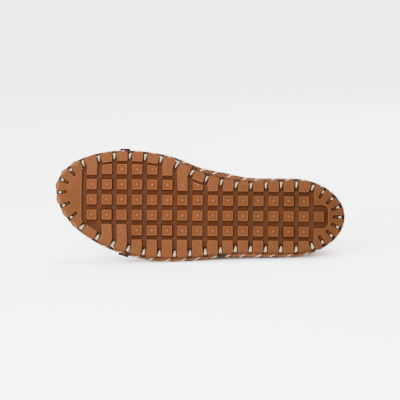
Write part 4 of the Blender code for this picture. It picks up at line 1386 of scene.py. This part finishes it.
def make_sock():
    """The insole's leather top, dished for the foot, with a rolled edge against the wall."""
    inner = UPPER_FOOT.grown(-(WALL * WALL_SHARE + 0.0001))
    low, high = inner.points[:, 0].min(), inner.points[:, 0].max()
    edges = [inner.side_edge(side) for side in (LATERAL, MEDIAL)]
    across = np.linspace(-1, 1, 29)
    upper_rows, lower_rows = [], []
    for x in low + (high - low) * (1 - np.cos(np.linspace(0, pi, 70))) / 2:
        lateral, medial = (np.interp(x, *edge) for edge in edges)
        y = (lateral + medial) / 2 + (medial - lateral) / 2 * across
        plan = np.column_stack([np.full(len(across), x), y])
        foot = FOOT_Z + spring(x)
        heel_cup = HEEL_CUP_DEPTH * hill(x, *HEEL_CUP) * (1 - across**2)
        arch = ARCH_HEIGHT * hill(x, *ARCH) * np.clip(across, 0, 1) ** 2
        top = foot + INSOLE_THICKNESS * (0.78 + 0.22 * across**4) - heel_cup + arch
        upper_rows.append(at_height(plan, top))
        lower_rows.append(at_height(plan, foot + SOCK_RAISE))
    shape = Shape()
    upper_rows, lower_rows = shape.sheet(upper_rows), shape.sheet(lower_rows, 1)
    for end in (0, -1):
        shape.bridge([row[end] for row in upper_rows], [row[end] for row in lower_rows], closed=False)
    return shape.made("insole_sock", [SOCK_LEATHER, STRIP_LEATHER])


def seen_brighter(tree, output, kind, looks):
    """Gives the shoe the light of a shader's first looks, and shows the camera its second."""
    path = tree.nodes.new("ShaderNodeLightPath")
    plain, seen = (add_node(tree, kind, inputs).outputs[0] for inputs in looks)
    mix = add_node(tree, "MixShader", {"Fac": path.outputs["Is Camera Ray"], 1: plain, 2: seen})
    tree.links.new(mix.outputs["Shader"], tree.nodes[output].inputs["Surface"])


def make_floor():
    """Pale paper that the picture is exposed for: it looks brighter than the light that it gives the shoe."""
    material, tree, shader = new_material("pale_floor")
    tree.nodes.remove(shader)
    greys = [{"Color": (shade, shade, shade, 1)} for shade in (FLOOR_SHADE, FLOOR_GLOW)]
    seen_brighter(tree, "Material Output", "BsdfDiffuse", greys)
    mesh = bpy.data.meshes.new("floor")
    corners = rectangle(0, 0, 2 * FLOOR_REACH, 2 * FLOOR_REACH)
    mesh.from_pydata([(x, y, 0) for x, y in corners], [], [(0, 1, 2, 3)])
    mesh.materials.append(material)
    linked("floor", mesh)


def add_light(name, kind, strength, place, target=(0, 0, 0)):
    lamp = linked(name, bpy.data.lights.new(name, kind))
    lamp.data.energy = strength
    lamp.location = place
    lamp.rotation_mode = "QUATERNION"
    lamp.rotation_quaternion = (Vector(target) - Vector(place)).to_track_quat("-Z", "Y")
    return lamp.data


def make_lights():
    """A bright room, a soft key from the lower left in front, one above and a weak one behind."""
    world = bpy.data.worlds.new("studio")
    world.use_nodes = True
    skies = [{"Color": (1, 1, 1, 1), "Strength": strength} for strength in (WORLD_LIGHT, WORLD_GLOW)]
    seen_brighter(world.node_tree, "World Output", "Background", skies)
    bpy.context.scene.world = world
    areas = {
        "key": (28, (-0.60, -1.28, 0.75), (-0.02, 0, 0.05), 1.3),
        "back": (9, (0.7, 1.3, 1.0), (0, 0, 0.05), 1.0),
    }
    for name, (watts, place, target, size) in areas.items():
        data = add_light(name, "AREA", watts, place, target)
        data.shape = "DISK"
        data.size = size
    add_light("top", "SUN", 1.1, (0.15, 0.10, 1.0)).angle = radians(28)


def make_camera():
    """A long lens square to the sole, turned and placed as in the photograph."""
    turn = SHOE.to_3x3()
    right = turn @ Vector((-cos(GRID_TURN), sin(GRID_TURN), 0))
    up = turn @ Vector((sin(GRID_TURN), cos(GRID_TURN), 0))
    towards = turn @ Vector((0, 0, -1))
    across = (FRAME_PIXELS / 2 - HEEL_PIXEL) * PIXEL_SIZE
    down = (FRAME_PIXELS / 2 - ROW_PIXEL_AT_HEEL) * PIXEL_SIZE
    distance = FRAME_PIXELS * PIXEL_SIZE * LENS / SENSOR
    place = SHOE @ Vector(HEEL_POINT) + right * across - up * down + towards * distance
    camera = linked("camera", bpy.data.cameras.new("camera"))
    camera.data.lens = LENS
    camera.data.sensor_width = SENSOR
    camera.matrix_world = Matrix.Translation(place) @ Matrix((right, up, towards)).transposed().to_4x4()
    bpy.context.scene.camera = camera


def ride(piece, slot, *nodes):
    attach(piece, "root")
    if nodes:
        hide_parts(*nodes)


def main():
    ride(make_tread(), "gum_rubber", "outsole")
    ride(make_sole_plate(), "gum_rubber", "outsole")
    ride(make_notch_ribs(), "gum_rubber")
    ride(make_stitches(), "rand_leather")
    ride(make_rand(), "rand_leather", "rand")
    ride(make_upper(), "tan_leather", "upper")
    ride(make_weave(), "tan_leather", "upper")
    ride(make_binding(), "tan_leather")
    toe_band = make_strap("toe_band", toe_strap_x, TOE_STRAP_WIDTH, TOE_STRAP_LIFT, True)
    ride(toe_band, "strap_leather", "toe_strap")
    instep_band = make_strap("instep_band", instep_strap_x, INSTEP_STRAP_WIDTH, INSTEP_STRAP_LIFT, False)
    ride(instep_band, "strap_leather", "instep_strap")
    ride(make_sock(), "lining", "insole")
    make_floor()
    make_lights()
    make_camera()


main()
